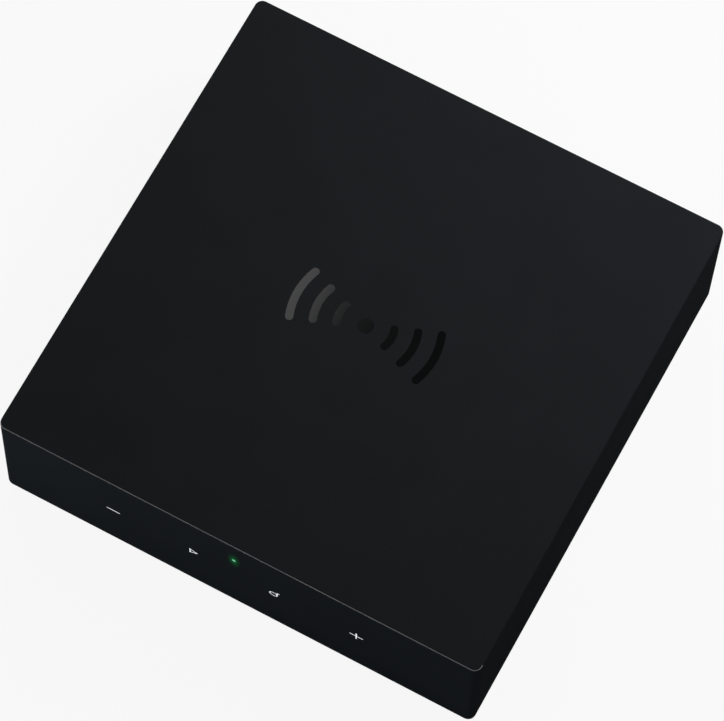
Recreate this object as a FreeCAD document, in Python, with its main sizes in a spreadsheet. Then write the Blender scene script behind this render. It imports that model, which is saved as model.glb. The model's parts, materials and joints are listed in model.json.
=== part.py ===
import FreeCAD, Part
import Sketcher
import math
import os
import re

from FreeCAD import Placement, Rotation, Vector

# A small table-top network music player: a square moulded case with touch marks on its front,
# a recessed bay of sockets at its back, and the boards between them. The origin lies on the
# table under the middle of the case, +Z is up, -Y is the front and +Y the back.

# Driving dimensions in millimetres, and angles in degrees
SIZES = {
    # the case
    "case_width": 140.0,
    "case_depth": 140.0,
    "case_height": 42.0,
    "corner_radius": 2.2,
    "inner_corner_radius": 1.0,
    "top_edge_radius": 0.4,
    "bottom_edge_radius": 1.0,
    "side_wall": 2.5,
    "top_wall": 2.5,
    # the base cover, which closes the case from below, and the rubber foot let into it
    "foot_proud": 0.6,
    "base_thickness": 2.6,
    "base_gap": 0.15,
    "foot_inlay": 1.0,
    "foot_inset": 5.0,
    "foot_corner": 4.0,
    "foot_gap": 0.1,
    # the four screws that hold the base cover to the bosses of the case
    "boss_inset": 7.0,
    "boss_radius": 3.5,
    "boss_rise": 1.8,
    "boss_panel_gap": 0.5,
    "case_screw_radius": 1.5,
    "case_screw_length": 10.0,
    "case_screw_head_radius": 2.8,
    "case_screw_head_height": 1.7,
    "screw_hole_gap": 0.15,
    "thread_gap": 0.04,
    "thread_tip_gap": 0.4,
    "screw_tip_room": 1.0,
    "head_gap": 0.25,
    "head_recess": 2.0,
    "cross_width": 0.7,
    "cross_depth": 0.9,
    "cross_reach": 0.62,
    # the recessed bay at the back and the panel inside it
    "bay_depth": 5.5,
    "bay_inset": 7.5,
    "bay_roof": 3.0,
    "row_margin": 1.0,
    "bay_rim": 1.6,
    "bay_corner": 2.0,
    "panel_thickness": 2.0,
    "panel_gap": 0.3,
    "panel_slide_gap": 0.2,
    "panel_rib_depth": 2.2,
    "panel_rib_reach": 4.0,
    "socket_gap": 0.2,
    # the main board on its four standoffs
    "board_side_gap": 11.5,
    "board_front_gap": 25.6,
    "board_thickness": 1.6,
    "board_panel_gap": 0.4,
    "board_corner": 2.0,
    "standoff_height": 3.8,
    "standoff_radius": 3.0,
    "board_hole_inset": 5.0,
    "rear_hole_setback": 36.0,
    "board_screw_radius": 1.25,
    "board_screw_length": 5.4,
    "board_screw_head_radius": 2.3,
    "board_screw_head_height": 1.6,
    "ballast_thickness": 2.0,
    "ballast_gap": 1.0,
    "ballast_setback": 8.0,
    # the touch board behind the front wall, its marks and its light
    "touch_side_gap": 12.5,
    "touch_top_gap": 0.5,
    "touch_drop": 7.4,
    "touch_thickness": 1.0,
    "electrode_width": 16.0,
    "electrode_height": 15.0,
    "electrode_thickness": 0.3,
    "touch_shift": -0.5,
    "mark_height": 22.3,
    "mark_inner": 11.9,
    "mark_outer": 35.9,
    "mark_depth": 0.25,
    "mark_size": 3.9,
    "mark_stroke": 0.4,
    "glyph_stroke": 0.33,
    "play_width": 2.6,
    "play_height": 2.8,
    "note_radius": 1.25,
    "note_lead": 0.3,
    "note_drop": 0.5,
    "note_stem": 2.0,
    "note_flag": 0.6,
    "light_drop": 10.1,
    "light_radius": 0.5,
    "light_shoulder_radius": 1.3,
    "light_gap": 0.05,
    "led_width": 3.2,
    "led_height": 3.2,
    "led_depth": 1.2,
    "touch_chip_size": 5.0,
    "touch_chip_depth": 0.9,
    "touch_chip_x": -24.0,
    # the flat ribbon between the touch board and the main board
    "ribbon_x": 22.0,
    "ribbon_width": 8.0,
    "ribbon_thickness": 0.3,
    "ribbon_bend": 3.0,
    "ribbon_socket_width": 10.0,
    "ribbon_socket_reach": 2.2,
    "ribbon_socket_height": 3.6,
    "ribbon_socket_setback": 1.5,
    "ribbon_socket_depth": 4.0,
    "ribbon_socket_rise": 2.0,
    # the plain glossy device in the middle of the top
    "emblem_depth": 0.3,
    "emblem_dot_radius": 2.2,
    "emblem_stroke": 2.2,
    "emblem_inner_radius": 7.6,
    "emblem_pitch": 6.2,
    "emblem_half_angle": 21.0,
    # the phono sockets
    "phono_pitch": 14.0,
    "phono_body_width": 13.0,
    "phono_body_depth": 12.0,
    "phono_body_margin": 6.4,
    "coax_body_width": 11.5,
    "jack_gap": 0.2,
    "collar_radius": 5.3,
    "collar_proud": 0.6,
    "collar_chamfer": 0.3,
    "barrel_radius": 4.15,
    "barrel_wall": 0.5,
    "barrel_fit": 0.05,
    "barrel_lip": 0.2,
    "phono_reach": 8.0,
    "insert_setback": 1.5,
    "pin_bore_radius": 1.65,
    "pin_tube_wall": 0.35,
    "pin_tube_depth": 5.0,
    "pin_fit": 0.03,
    "pin_tube_setback": 0.2,
    # the optical sockets and their sprung shutters
    "optical_width": 10.0,
    "optical_depth": 16.4,
    "optical_rise": 5.3,
    "optical_proud": 0.2,
    "optical_face_wall": 1.0,
    "optical_roof": 1.0,
    "aperture_size": 6.4,
    "aperture_key": 1.2,
    "cavity_depth": 9.1,
    "cavity_side_gap": 0.4,
    "cavity_floor_drop": 0.55,
    "shutter_overlap": 0.2,
    "shutter_thickness": 0.9,
    "shutter_face_gap": 0.2,
    "pivot_setback": 0.9,
    "pivot_rise": 0.95,
    "roof_rise": 0.9,
    "hub_radius": 0.75,
    "trunnion_radius": 0.45,
    "trunnion_length": 1.0,
    "trunnion_fit": 0.05,
    "spring_core_radius": 0.35,
    "spring_radius": 0.58,
    "spring_wire": 0.26,
    "spring_turns": 3.25,
    "spring_pitch": 0.42,
    "spring_leg": 3.0,
    "spring_toe": 0.75,
    "spring_notch": 2.4,
    "opto_radius": 2.6,
    "opto_depth": 5.0,
    "lens_radius": 1.2,
    "lens_reach": 0.6,
    "opto_fit": 0.05,
    # the trigger jack
    "trigger_width": 8.0,
    "trigger_depth": 12.0,
    "trigger_height": 6.8,
    "trigger_rise": 3.4,
    "trigger_nose_radius": 3.0,
    "trigger_proud": 0.4,
    "trigger_bore_radius": 1.8,
    "trigger_bore_depth": 13.0,
    "trigger_contact_length": 6.0,
    "trigger_contact_width": 1.0,
    "trigger_contact_thickness": 0.3,
    "trigger_contact_gap": 0.1,
    # the network socket
    "ethernet_width": 16.0,
    "ethernet_height": 13.4,
    "ethernet_depth": 18.2,
    "ethernet_proud": 0.2,
    "ethernet_shell": 0.3,
    "ethernet_mouth_width": 11.8,
    "ethernet_mouth_height": 7.0,
    "ethernet_mouth_rise": 4.0,
    "ethernet_mouth_depth": 13.0,
    "latch_width": 6.2,
    "latch_drop": 1.6,
    "latch_slot_width": 3.4,
    "latch_slot_drop": 1.2,
    "wire_pitch": 1.02,
    "wire_width": 0.45,
    "wire_thickness": 0.3,
    "wire_length": 7.0,
    "wire_angle": 18.0,
    "wire_setback": 1.2,
    "wire_root": 1.5,
    # the power socket
    "usb_width": 8.94,
    "usb_height": 3.26,
    "usb_depth": 8.0,
    "usb_proud": 0.3,
    "usb_wall": 0.3,
    "usb_flat": 0.1,
    "usb_tongue_width": 6.7,
    "usb_tongue_height": 0.7,
    "usb_tongue_setback": 0.9,
    "usb_block_depth": 2.4,
    # the network module, its shield and its heat sink
    "module_x": -17.0,
    "module_setback": 13.9,
    "module_width": 46.0,
    "module_depth": 32.0,
    "module_thickness": 1.0,
    "header_height": 2.2,
    "header_width": 30.0,
    "header_depth": 3.0,
    "header_inset": 1.0,
    "shield_inset": 1.8,
    "shield_plug_strip": 9.0,
    "shield_height": 2.5,
    "shield_wall": 0.3,
    "pad_inset": 6.0,
    "pad_thickness": 1.0,
    "sink_inset": 0.8,
    "sink_base": 1.8,
    "sink_height": 11.0,
    "sink_fin": 1.2,
    "sink_fins": 9,
    # small parts of the main board
    "dac_x": 30.0,
    "dac_setback": 46.0,
    "dac_size": 7.0,
    "dac_height": 1.0,
    "amplifier_setback": 36.1,
    "amplifier_x": 14.0,
    "amplifier_pitch": 11.0,
    "amplifier_width": 4.0,
    "amplifier_length": 5.0,
    "amplifier_height": 1.5,
    "relay_x": 28.0,
    "relay_setback": 24.1,
    "relay_pitch": 16.0,
    "relay_width": 10.0,
    "relay_depth": 7.0,
    "relay_height": 5.5,
    "transformer_setback": 6.0,
    "transformer_width": 13.0,
    "transformer_depth": 9.0,
    "transformer_height": 5.5,
    "crystal_x": 42.0,
    "crystal_pitch": 7.0,
    "crystal_width": 5.0,
    "crystal_depth": 3.2,
    "crystal_height": 1.2,
    "inductor_x": -38.0,
    "inductor_setback": 6.9,
    "inductor_pitch": 13.0,
    "inductor_size": 6.0,
    "inductor_height": 3.2,
    "can_x": 15.0,
    "can_setback": 27.9,
    "can_pitch": 9.5,
    "can_radius": 3.15,
    "can_height": 9.0,
    "can_base": 0.6,
    "can_base_size": 6.8,
    "ceramic_length": 2.0,
    "ceramic_width": 1.25,
    "ceramic_height": 0.9,
    "ceramic_pitch": 4.2,
    "ceramic_x": -34.0,
    "ceramic_setback": 49.4,
    "ceramic_row_pitch": 4.0,
    # the aerials on the side walls and their leads
    "aerial_length": 36.0,
    "aerial_height": 12.0,
    "aerial_thickness": 0.8,
    "aerial_low": 18.0,
    "aerial_y": -4.0,
    "lead_diameter": 1.2,
    "plug_radius": 1.3,
    "plug_height": 2.0,
    "plug_inset": 3.5,
    "plug_setback": 20.0,
    "plug_pitch": 10.0,
    "lead_bend": 3.0,
    "lead_board_gap": 4.0,
    "lead_module_gap": 3.0,
}

# Places worked out from the driving dimensions
PLACES = {
    "half_width": "case_width / 2",
    "half_depth": "case_depth / 2",
    "inner_x": "half_width - side_wall",
    "inner_y": "half_depth - side_wall",
    "ceiling": "case_height - top_wall",
    "floor_top": "foot_proud + base_thickness",
    "foot_seat": "foot_proud + foot_inlay",
    "base_x": "inner_x - base_gap",
    "base_y": "inner_y - base_gap",
    "foot_outer_x": "half_width - foot_inset",
    "foot_outer_y": "half_depth - foot_inset",
    "boss_seat": "floor_top + boss_rise",
    "head_seat": "foot_seat + head_recess",
    "panel_face": "half_depth - bay_depth",
    "panel_back": "panel_face - panel_thickness",
    "boss_x": "inner_x - boss_inset",
    "boss_front_y": "boss_inset - inner_y",
    "boss_rear_y": "panel_back - boss_radius - boss_panel_gap",
    "board_low": "floor_top + standoff_height",
    "board_top": "board_low + board_thickness",
    "board_rear": "panel_back - board_panel_gap",
    "board_front": "board_front_gap - inner_y",
    "board_side": "inner_x - board_side_gap",
    "hole_x": "board_side - board_hole_inset",
    "hole_front_y": "board_front + board_hole_inset",
    "hole_rear_y": "board_rear - rear_hole_setback",
    "board_screw_tip": "board_top - board_screw_length",
    "jack_seat": "panel_back - jack_gap",
    "bay_x": "inner_x - bay_inset",
    "bay_low": "board_low",
    "bay_high": "ceiling - bay_roof",
    "phono_low": "(bay_low + bay_high - phono_pitch) / 2",
    "phono_high": "phono_low + phono_pitch",
    "row_end": "boss_x - boss_radius - row_margin",
    "audio_widths": "2 * phono_body_width + coax_body_width + 2 * optical_width",
    "data_widths": "trigger_width + ethernet_width + usb_width",
    "row_gap": "(2 * row_end - audio_widths - data_widths) / 7",
    "line_in_x": "row_end - phono_body_width / 2",
    "line_out_x": "line_in_x - phono_body_width - row_gap",
    "coax_x": "line_out_x - phono_body_width / 2 - row_gap - coax_body_width / 2",
    "optical_out_x": "coax_x - coax_body_width / 2 - row_gap - optical_width / 2",
    "optical_in_x": "optical_out_x - optical_width - row_gap",
    "trigger_x": "optical_in_x - optical_width / 2 - row_gap - trigger_width / 2",
    "ethernet_x": "trigger_x - trigger_width / 2 - row_gap - ethernet_width / 2",
    "usb_x": "ethernet_x - ethernet_width / 2 - row_gap - usb_width / 2",
    "collar_face": "panel_face + collar_proud",
    "barrel_end": "panel_face + phono_reach",
    "insert_end": "barrel_end - insert_setback",
    "pin_tube_radius": "pin_bore_radius + pin_tube_wall",
    "pin_tube_root": "jack_seat - pin_tube_depth",
    "insert_core_radius": "barrel_radius - barrel_wall - barrel_fit",
    "minus_x": "touch_shift - mark_outer",
    "play_x": "touch_shift - mark_inner",
    "note_x": "touch_shift + mark_inner",
    "plus_x": "touch_shift + mark_outer",
    "play_side": "sqrt(play_width ^ 2 + (play_height / 2) ^ 2)",
    "play_inner_radius": "play_width * play_height / (play_height + 2 * play_side)",
    "play_shrink": "1 - glyph_stroke / play_inner_radius",
    "electrode_face": "electrode_thickness - inner_y",
    "touch_back": "electrode_face + touch_thickness",
    "touch_side": "inner_x - touch_side_gap",
    "touch_low": "mark_height - touch_drop",
    "touch_high": "ceiling - touch_top_gap",
    "light_height": "case_height - light_drop",
    "optical_face": "panel_face + optical_proud",
    "optical_back": "optical_face - optical_depth",
    "optical_axis": "board_top + optical_rise",
    "aperture_low": "optical_axis - aperture_size / 2",
    "aperture_high": "optical_axis + aperture_size / 2",
    "cavity_front": "optical_face - optical_face_wall",
    "cavity_back": "cavity_front - cavity_depth",
    "cavity_low": "aperture_low - cavity_floor_drop",
    "pivot_z": "aperture_high + pivot_rise",
    "pivot_y": "cavity_front - pivot_setback",
    "cavity_roof": "pivot_z + roof_rise",
    "shutter_half": "aperture_size / 2 + shutter_overlap",
    "shutter_front": "cavity_front - shutter_face_gap",
    "shutter_back": "shutter_front - shutter_thickness",
    "shutter_low": "aperture_low - shutter_overlap",
    "cavity_half": "shutter_half + cavity_side_gap / 2",
    "trigger_z": "board_top + trigger_rise",
    "trigger_face": "panel_face + trigger_proud",
    "ethernet_face": "panel_face + ethernet_proud",
    "ethernet_back": "ethernet_face - ethernet_depth",
    "mouth_low": "board_top + ethernet_mouth_rise",
    "mouth_high": "mouth_low + ethernet_mouth_height",
    "mouth_back": "ethernet_face - ethernet_mouth_depth",
    "usb_z": "board_top + usb_height / 2",
    "usb_face": "panel_face + usb_proud",
    "usb_back": "usb_face - usb_depth",
    "header_top": "board_top + header_height",
    "module_top": "header_top + module_thickness",
    "module_left": "module_x - module_width / 2",
    "module_right": "module_x + module_width / 2",
    "module_front": "board_front + module_setback",
    "module_back": "module_front + module_depth",
    "module_y": "module_front + module_depth / 2",
    "shield_top": "module_top + shield_height",
    "shield_left": "module_left + shield_plug_strip",
    "shield_right": "module_right - shield_inset",
    "shield_front": "module_front + shield_inset",
    "shield_back": "module_back - shield_inset",
    "pad_top": "shield_top + pad_thickness",
    "plug_x": "module_left + plug_inset",
    "plug_y": "module_front + plug_setback",
    "plug_top": "module_top + plug_height",
    "lead_z": "plug_top - lead_diameter / 2 - 0.1",
    "aerial_face": "inner_x - aerial_thickness",
    "aerial_high": "aerial_low + aerial_height",
    "dac_y": "board_front + dac_setback",
    "amplifier_y": "board_rear - amplifier_setback",
    "relay_y": "board_rear - relay_setback",
    "inductor_y": "board_front + inductor_setback",
    "can_y": "board_front + can_setback",
    "ceramic_y": "board_front + ceramic_setback",
}

doc = FreeCAD.newDocument("streamer")
WORD = re.compile(r"[a-z]\w*")


def link(expression, own=()):
    """The expression with each named size or place read from its sheet."""

    def sheet_name(word):
        if word[0] in SIZES:
            return "Sizes." + word[0]
        if word[0] in PLACES and word[0] not in own:
            return "Places." + word[0]
        return word[0]

    return WORD.sub(sheet_name, str(expression))


def fill_sheet(name, cells):
    """A sheet with one named cell for each entry."""
    sheet = doc.addObject("Spreadsheet::Sheet", name)
    for row, (alias, content) in enumerate(cells.items(), start=1):
        sheet.set(f"A{row}", alias)
        sheet.set(f"B{row}", content)
        sheet.setAlias(f"B{row}", alias)
    return sheet


sizes = fill_sheet("Sizes", {alias: str(value) for alias, value in SIZES.items()})
places = fill_sheet("Places", {alias: "=" + link(rule, PLACES) for alias, rule in PLACES.items()})
doc.recompute()


def at(alias):
    """The number that a named size or place holds."""
    sheet = sizes if alias in SIZES else places
    return float(sheet.get(alias))


def bind(item, prop, expression):
    item.setExpression(prop, link(expression))


def minus(expression):
    return f"-({expression})"


def about(centre, size):
    """The low and high places of a size that is centred on a place."""
    return (f"({centre}) - ({size}) / 2", f"({centre}) + ({size}) / 2")


def between(half):
    """The low and high places of a piece that is centred on the middle of the case."""
    return (minus(half), half)


# Plain solids

AXIS_TURN = {
    "x": Rotation(Vector(0, 1, 0), 90),
    "y": Rotation(Vector(1, 0, 0), -90),
    "z": Rotation(),
}


def block(name, x, y, z):
    """A square-edged block between two places along each axis."""
    solid = doc.addObject("Part::Box", name)
    for axis, side, (low, high) in zip("xyz", ("Length", "Width", "Height"), (x, y, z)):
        bind(solid, side, f"({high}) - ({low})")
        bind(solid, f"Placement.Base.{axis}", low)
    return solid


def rod(name, radius, x, y, z):
    """A round bar along the one axis whose place is a pair."""
    solid = doc.addObject("Part::Cylinder", name)
    bind(solid, "Radius", radius)
    for axis, place in zip("xyz", (x, y, z)):
        if isinstance(place, tuple):
            solid.Placement = Placement(Vector(), AXIS_TURN[axis])
            bind(solid, "Height", f"({place[1]}) - ({place[0]})")
            place = place[0]
        bind(solid, f"Placement.Base.{axis}", place)
    return solid


def group(name, solids):
    """Several solids as one object: joined where they meet, else side by side."""
    if len(solids) == 1:
        return solids[0]
    fused = doc.addObject("Part::MultiFuse", name)
    fused.Shapes = solids
    return fused


def cut(name, base, tools):
    made = doc.addObject("Part::Cut", name)
    made.Base = base
    made.Tool = group(name + "_tools", tools)
    return made


def apart(name, solids):
    """Solids that share one name and stay separate."""
    made = doc.addObject("Part::Compound", name)
    made.Links = solids
    return made


# Sketched bodies


def origin_plane(body, role):
    return next(f for f in body.Origin.OriginFeatures if f.Role == role)


def sketch_on(body, name, role, offset):
    """An empty sketch on one of the body's own planes, moved along that plane's axes."""
    sketch = body.newObject("Sketcher::SketchObject", name)
    sketch.AttachmentSupport = [(origin_plane(body, role), "")]
    sketch.MapMode = "FlatFace"
    for axis, place in zip("xyz", offset):
        bind(sketch, f"AttachmentOffset.Base.{axis}", place)
    return sketch


def outline(sketch, points):
    """A closed outline of straight lines through points, each held by its own sizes."""
    first = sketch.GeometryCount
    last = first + len(points) - 1
    spots = [Vector(2.0 * n, float(n * n), 0) for n in range(len(points))]
    for n, spot in enumerate(spots):
        sketch.addGeometry(Part.LineSegment(spot, spots[(n + 1) % len(spots)]))
    for line in range(first, last):
        sketch.addConstraint(Sketcher.Constraint("Coincident", line, 2, line + 1, 1))
    sketch.addConstraint(Sketcher.Constraint("Coincident", last, 2, first, 1))
    for line, point in zip(range(first, last + 1), points):
        for kind, place in zip(("DistanceX", "DistanceY"), point):
            n = sketch.addConstraint(Sketcher.Constraint(kind, -1, 1, line, 1, 1.0))
            bind(sketch, f"Constraints[{n}]", place)


def padded_body(name, points, depth, along="z"):
    """A flat outline of points across an axis, filled between two places along that axis."""
    body = doc.addObject("PartDesign::Body", name)
    role, start, end = {
        "x": ("YZ_Plane", depth[0], depth[1]),
        "y": ("XZ_Plane", minus(depth[1]), minus(depth[0])),
        "z": ("XY_Plane", depth[0], depth[1]),
    }[along]
    sketch = sketch_on(body, name + "_outline", role, ("0", "0", start))
    outline(sketch, points)
    pad = body.newObject("PartDesign::Pad", name + "_pad")
    pad.Profile = sketch
    bind(pad, "Length", f"({end}) - ({start})")
    doc.recompute()
    return body


def plate(name, x, y, z, corner, along="z"):
    """A block whose four edges along one axis are rounded."""
    (left, right), (low, high) = (x, y) if along == "z" else (x, z)
    points = [(left, low), (right, low), (right, high), (left, high)]
    body = padded_body(name, points, z if along == "z" else y, along)
    round_edges(body, body.Tip, corner, runs_along(along))
    return body


def round_edges(body, feature, radius, chosen):
    """Rounds the edges of the feature that the test picks."""
    edges = [f"Edge{n}" for n, edge in enumerate(feature.Shape.Edges, start=1) if chosen(edge)]
    made = body.newObject("PartDesign::Fillet", body.Name + "_fillet")
    made.Base = (feature, edges)
    bind(made, "Radius", radius)
    doc.recompute()
    return made


def runs_along(axis):
    """A test for straight edges along an axis."""
    other = [name for name in "xyz" if name != axis]

    def test(edge):
        run = edge.Vertexes[-1].Point - edge.Vertexes[0].Point
        return max(abs(getattr(run, name)) for name in other) < 1e-6

    return test


def lies_at(height):
    """A test for edges that lie flat at a height."""
    return lambda edge: abs(edge.BoundBox.ZMin - height) + abs(edge.BoundBox.ZMax - height) < 1e-3


def turned_body(name, profile, x, y, z):
    """A body turned about an axis along Y: its profile is a list of (radius, place along Y)."""
    body = doc.addObject("PartDesign::Body", name)
    sketch = sketch_on(body, name + "_profile", "XY_Plane", ("0", "0", "0"))
    outline(sketch, profile)
    turn = body.newObject("PartDesign::Revolution", name + "_turn")
    turn.Profile = sketch
    turn.ReferenceAxis = (sketch, ["V_Axis"])
    turn.Angle = 360
    for axis, place in zip("xyz", (x, y, z)):
        bind(body, f"Placement.Base.{axis}", place)
    return body


# Free shapes, for pieces that follow a bent line


def free_shape(name, shape):
    made = doc.addObject("Part::Feature", name)
    made.Shape = shape
    return made


def bent_path(points, radius):
    """Straight runs through points, joined by round bends."""
    edges = []
    start = points[0]
    for before, corner, after in zip(points, points[1:], points[2:]):
        inward = (before - corner).normalize()
        outward = (after - corner).normalize()
        half_turn = inward.getAngle(outward) / 2
        reach = radius / math.tan(half_turn)
        first = corner + inward * reach
        last = corner + outward * reach
        depth = radius / math.sin(half_turn) - radius
        middle = corner + (inward + outward).normalize() * depth
        edges.append(Part.LineSegment(start, first).toShape())
        edges.append(Part.Arc(first, middle, last).toShape())
        start = last
    edges.append(Part.LineSegment(start, points[-1]).toShape())
    return Part.Wire(edges)


def round_wire(path, radius):
    """A round bar along a path."""
    start = path.Edges[0]
    direction = start.tangentAt(start.FirstParameter)
    ring = Part.Circle(start.valueAt(start.FirstParameter), direction, radius).toShape()
    return path.makePipeShell([Part.Wire([ring])], True, False)


# The pieces, each under its own name

PIECES = {}


def piece(name, made):
    made.Label = name
    PIECES[name] = made
    return made


SIDES = (-1, 1)
CASE_SCREWS = [(f"{side} * boss_x", y) for side in SIDES for y in ("boss_front_y", "boss_rear_y")]
BOARD_SCREWS = [(f"{side} * hole_x", y) for side in SIDES for y in ("hole_front_y", "hole_rear_y")]
WHITE_PHONOS = {"line_in": ("line_in_x", "phono_high"), "line_out": ("line_out_x", "phono_high")}
RED_PHONOS = {"line_in": ("line_in_x", "phono_low"), "line_out": ("line_out_x", "phono_low")}
PHONOS = [*WHITE_PHONOS.values(), *RED_PHONOS.values(), ("coax_x", "phono_low")]
OPTICALS = {"optical_out": "optical_out_x", "optical_in": "optical_in_x"}

# The touch marks, let into the front face: minus, play, a note and plus

MARK_Y = (minus("half_depth"), "mark_depth - half_depth")


def bars(name, x, z, width, height):
    return block(name, about(x, width), MARK_Y, about(z, height))


minus_mark = bars("minus_mark", "minus_x", "mark_height", "mark_size", "mark_stroke")
plus_level = bars("plus_level", "plus_x", "mark_height", "mark_size", "mark_stroke")
plus_upright = bars("plus_upright", "plus_x", "mark_height", "mark_stroke", "mark_size")
plus_mark = group("plus_mark", [plus_level, plus_upright])


def triangle(name, scale, y):
    """A triangle that points to the right, scaled about the middle of its inner circle."""
    middle = "play_inner_radius - play_width / 2"
    corners = (("-play_width / 2", -1), ("play_width / 2", 0), ("-play_width / 2", 1))
    points = []
    for x, side in corners:
        across = f"({middle}) + ({scale}) * ({x} - ({middle})) + play_x"
        points.append((across, f"mark_height + ({scale}) * {side} * play_height / 2"))
    return padded_body(name, points, y, "y")


MARK_THROUGH = (f"({MARK_Y[0]}) - 1", f"({MARK_Y[1]}) + 1")
play_rim = triangle("play_rim", "1", MARK_Y)
play_window = triangle("play_window", "play_shrink", MARK_THROUGH)
play_mark = cut("play_mark", play_rim, [play_window])

NOTE_Z = "mark_height - note_drop"
RING_X = "note_x - note_lead"
NOTE_RIGHT = f"{RING_X} + note_radius"
note_disc = rod("note_disc", "note_radius", RING_X, MARK_Y, NOTE_Z)
note_hole = rod("note_hole", "note_radius - glyph_stroke", RING_X, MARK_THROUGH, NOTE_Z)
note_ring = cut("note_ring", note_disc, [note_hole])
STEM_X = (f"{NOTE_RIGHT} - glyph_stroke", NOTE_RIGHT)
STEM_TOP = f"{NOTE_Z} + note_stem"
note_stem = block("note_stem", STEM_X, MARK_Y, (NOTE_Z, STEM_TOP))
FLAG_X = (STEM_X[0], f"{NOTE_RIGHT} + note_flag")
note_flag = block("note_flag", FLAG_X, MARK_Y, (f"{STEM_TOP} - glyph_stroke", STEM_TOP))
note_mark = group("note_mark", [note_ring, note_stem, note_flag])
touch_marks = piece("touch_marks", apart("touch_marks", [minus_mark, play_mark, note_mark, plus_mark]))

# The glossy device let into the top: a dot between two pairs of arcs

EMBLEM_Z = ("case_height - emblem_depth", "case_height")
EMBLEM_THROUGH = (f"({EMBLEM_Z[0]}) - 1", f"({EMBLEM_Z[1]}) + 1")


def arc(name, radius, side):
    """A short arc that faces left or right."""
    outer = rod(name + "_outer", f"({radius}) + emblem_stroke / 2", "0", "0", EMBLEM_Z)
    outer.Placement = Placement(outer.Placement.Base, Rotation(Vector(0, 0, 1), 90 - 90 * side))
    bind(outer, "Angle", "2 * emblem_half_angle")
    bind(outer, "Placement.Rotation.Angle", f"{90 - 90 * side} - emblem_half_angle")
    inner = rod(name + "_inner", f"({radius}) - emblem_stroke / 2", "0", "0", EMBLEM_THROUGH)
    band = cut(name + "_band", outer, [inner])
    x = f"{side} * ({radius}) * cos(emblem_half_angle * 1deg)"
    y = f"({radius}) * sin(emblem_half_angle * 1deg)"
    ends = [
        rod(f"{name}_end_{n}", "emblem_stroke / 2", x, place, EMBLEM_Z)
        for n, place in enumerate((y, minus(y)))
    ]
    return group(name, [band, *ends])


emblem_parts = [rod("emblem_dot", "emblem_dot_radius", "0", "0", EMBLEM_Z)]
for ring in range(3):
    for side, word in zip(SIDES, ("left", "right")):
        radius = f"emblem_inner_radius + {ring} * emblem_pitch"
        emblem_parts.append(arc(f"emblem_{word}_{ring}", radius, side))
top_emblem = piece("top_emblem", apart("top_emblem", emblem_parts))

# The case: walls and top in one piece, open below, with the rear bay, panel ribs and bosses

case_block = plate(
    "case_block",
    between("half_width"),
    between("half_depth"),
    ("foot_proud", "case_height"),
    "corner_radius",
)
round_edges(case_block, case_block.Tip, "top_edge_radius", lies_at(at("case_height")))
round_edges(case_block, case_block.Tip, "bottom_edge_radius", lies_at(at("foot_proud")))
case_hollow = plate(
    "case_hollow",
    between("inner_x"),
    between("inner_y"),
    ("foot_proud - 1", "ceiling"),
    "inner_corner_radius",
)
case_walls = cut("case_walls", case_block, [case_hollow])

bay_rim = plate(
    "bay_frame",
    between("bay_x + bay_rim"),
    ("panel_face", "half_depth - side_wall / 2"),
    ("bay_low - bay_rim", "bay_high + bay_rim"),
    "bay_corner + bay_rim",
    "y",
)
bay_window = plate(
    "bay_window",
    between("bay_x"),
    ("panel_face - 1", "half_depth + 1"),
    ("bay_low", "bay_high"),
    "bay_corner",
    "y",
)
RIB_Y = ("panel_back - panel_slide_gap - panel_rib_depth", "panel_back - panel_slide_gap")
RIB_Z = ("bay_low", "ceiling + top_wall / 2")
case_additions = [bay_rim]
for side, word in zip(SIDES, ("left", "right")):
    edges = (f"{side} * (inner_x - panel_rib_reach)", f"{side} * (inner_x + side_wall / 2)")
    case_additions.append(block(f"panel_rib_{word}", edges[::side], RIB_Y, RIB_Z))
for n, (x, y) in enumerate(CASE_SCREWS):
    height = ("boss_seat", "ceiling + top_wall / 2")
    case_additions.append(rod(f"case_boss_{n}", "boss_radius", x, y, height))
case_solid = group("case_solid", [case_walls, *case_additions])

case_tools = [bay_window, touch_marks, top_emblem]
LIGHT_HOLE_Y = (minus("half_depth + 1"), minus("inner_y - 1"))
case_tools.append(rod("light_hole", "light_radius + light_gap", "touch_shift", LIGHT_HOLE_Y, "light_height"))
for n, (x, y) in enumerate(CASE_SCREWS):
    height = ("boss_seat - 1", "head_seat + case_screw_length + screw_tip_room")
    case_tools.append(rod(f"case_pilot_{n}", "case_screw_radius + thread_gap", x, y, height))
piece("upper_shell", cut("upper_shell", case_solid, case_tools))

# The base cover, its rubber foot, its four screws and the steel plate that gives it weight

base_plate = plate(
    "base_plate",
    between("base_x"),
    between("base_y"),
    ("foot_proud", "floor_top"),
    "inner_corner_radius",
)
base_solids = [base_plate]
base_tools = [
    plate(
        "foot_recess",
        between("foot_outer_x + foot_gap"),
        between("foot_outer_y + foot_gap"),
        ("foot_proud - 1", "foot_seat"),
        "foot_corner + foot_gap",
    )
]
for n, (x, y) in enumerate(CASE_SCREWS):
    base_solids.append(rod(f"base_boss_{n}", "boss_radius", x, y, ("foot_seat", "boss_seat")))
    head_radius = "case_screw_head_radius + head_gap"
    base_tools.append(rod(f"head_recess_{n}", head_radius, x, y, ("foot_proud", "head_seat")))
    hole_radius = "case_screw_radius + screw_hole_gap"
    base_tools.append(rod(f"base_hole_{n}", hole_radius, x, y, ("foot_proud", "boss_seat + 1")))
for n, (x, y) in enumerate(BOARD_SCREWS):
    base_solids.append(rod(f"standoff_{n}", "standoff_radius", x, y, ("foot_seat", "board_low")))
    hole = ("board_screw_tip - thread_tip_gap", "board_low + 1")
    base_tools.append(rod(f"standoff_hole_{n}", "board_screw_radius + thread_gap", x, y, hole))
piece("base_cover", cut("base_cover", group("base_solid", base_solids), base_tools))

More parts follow.
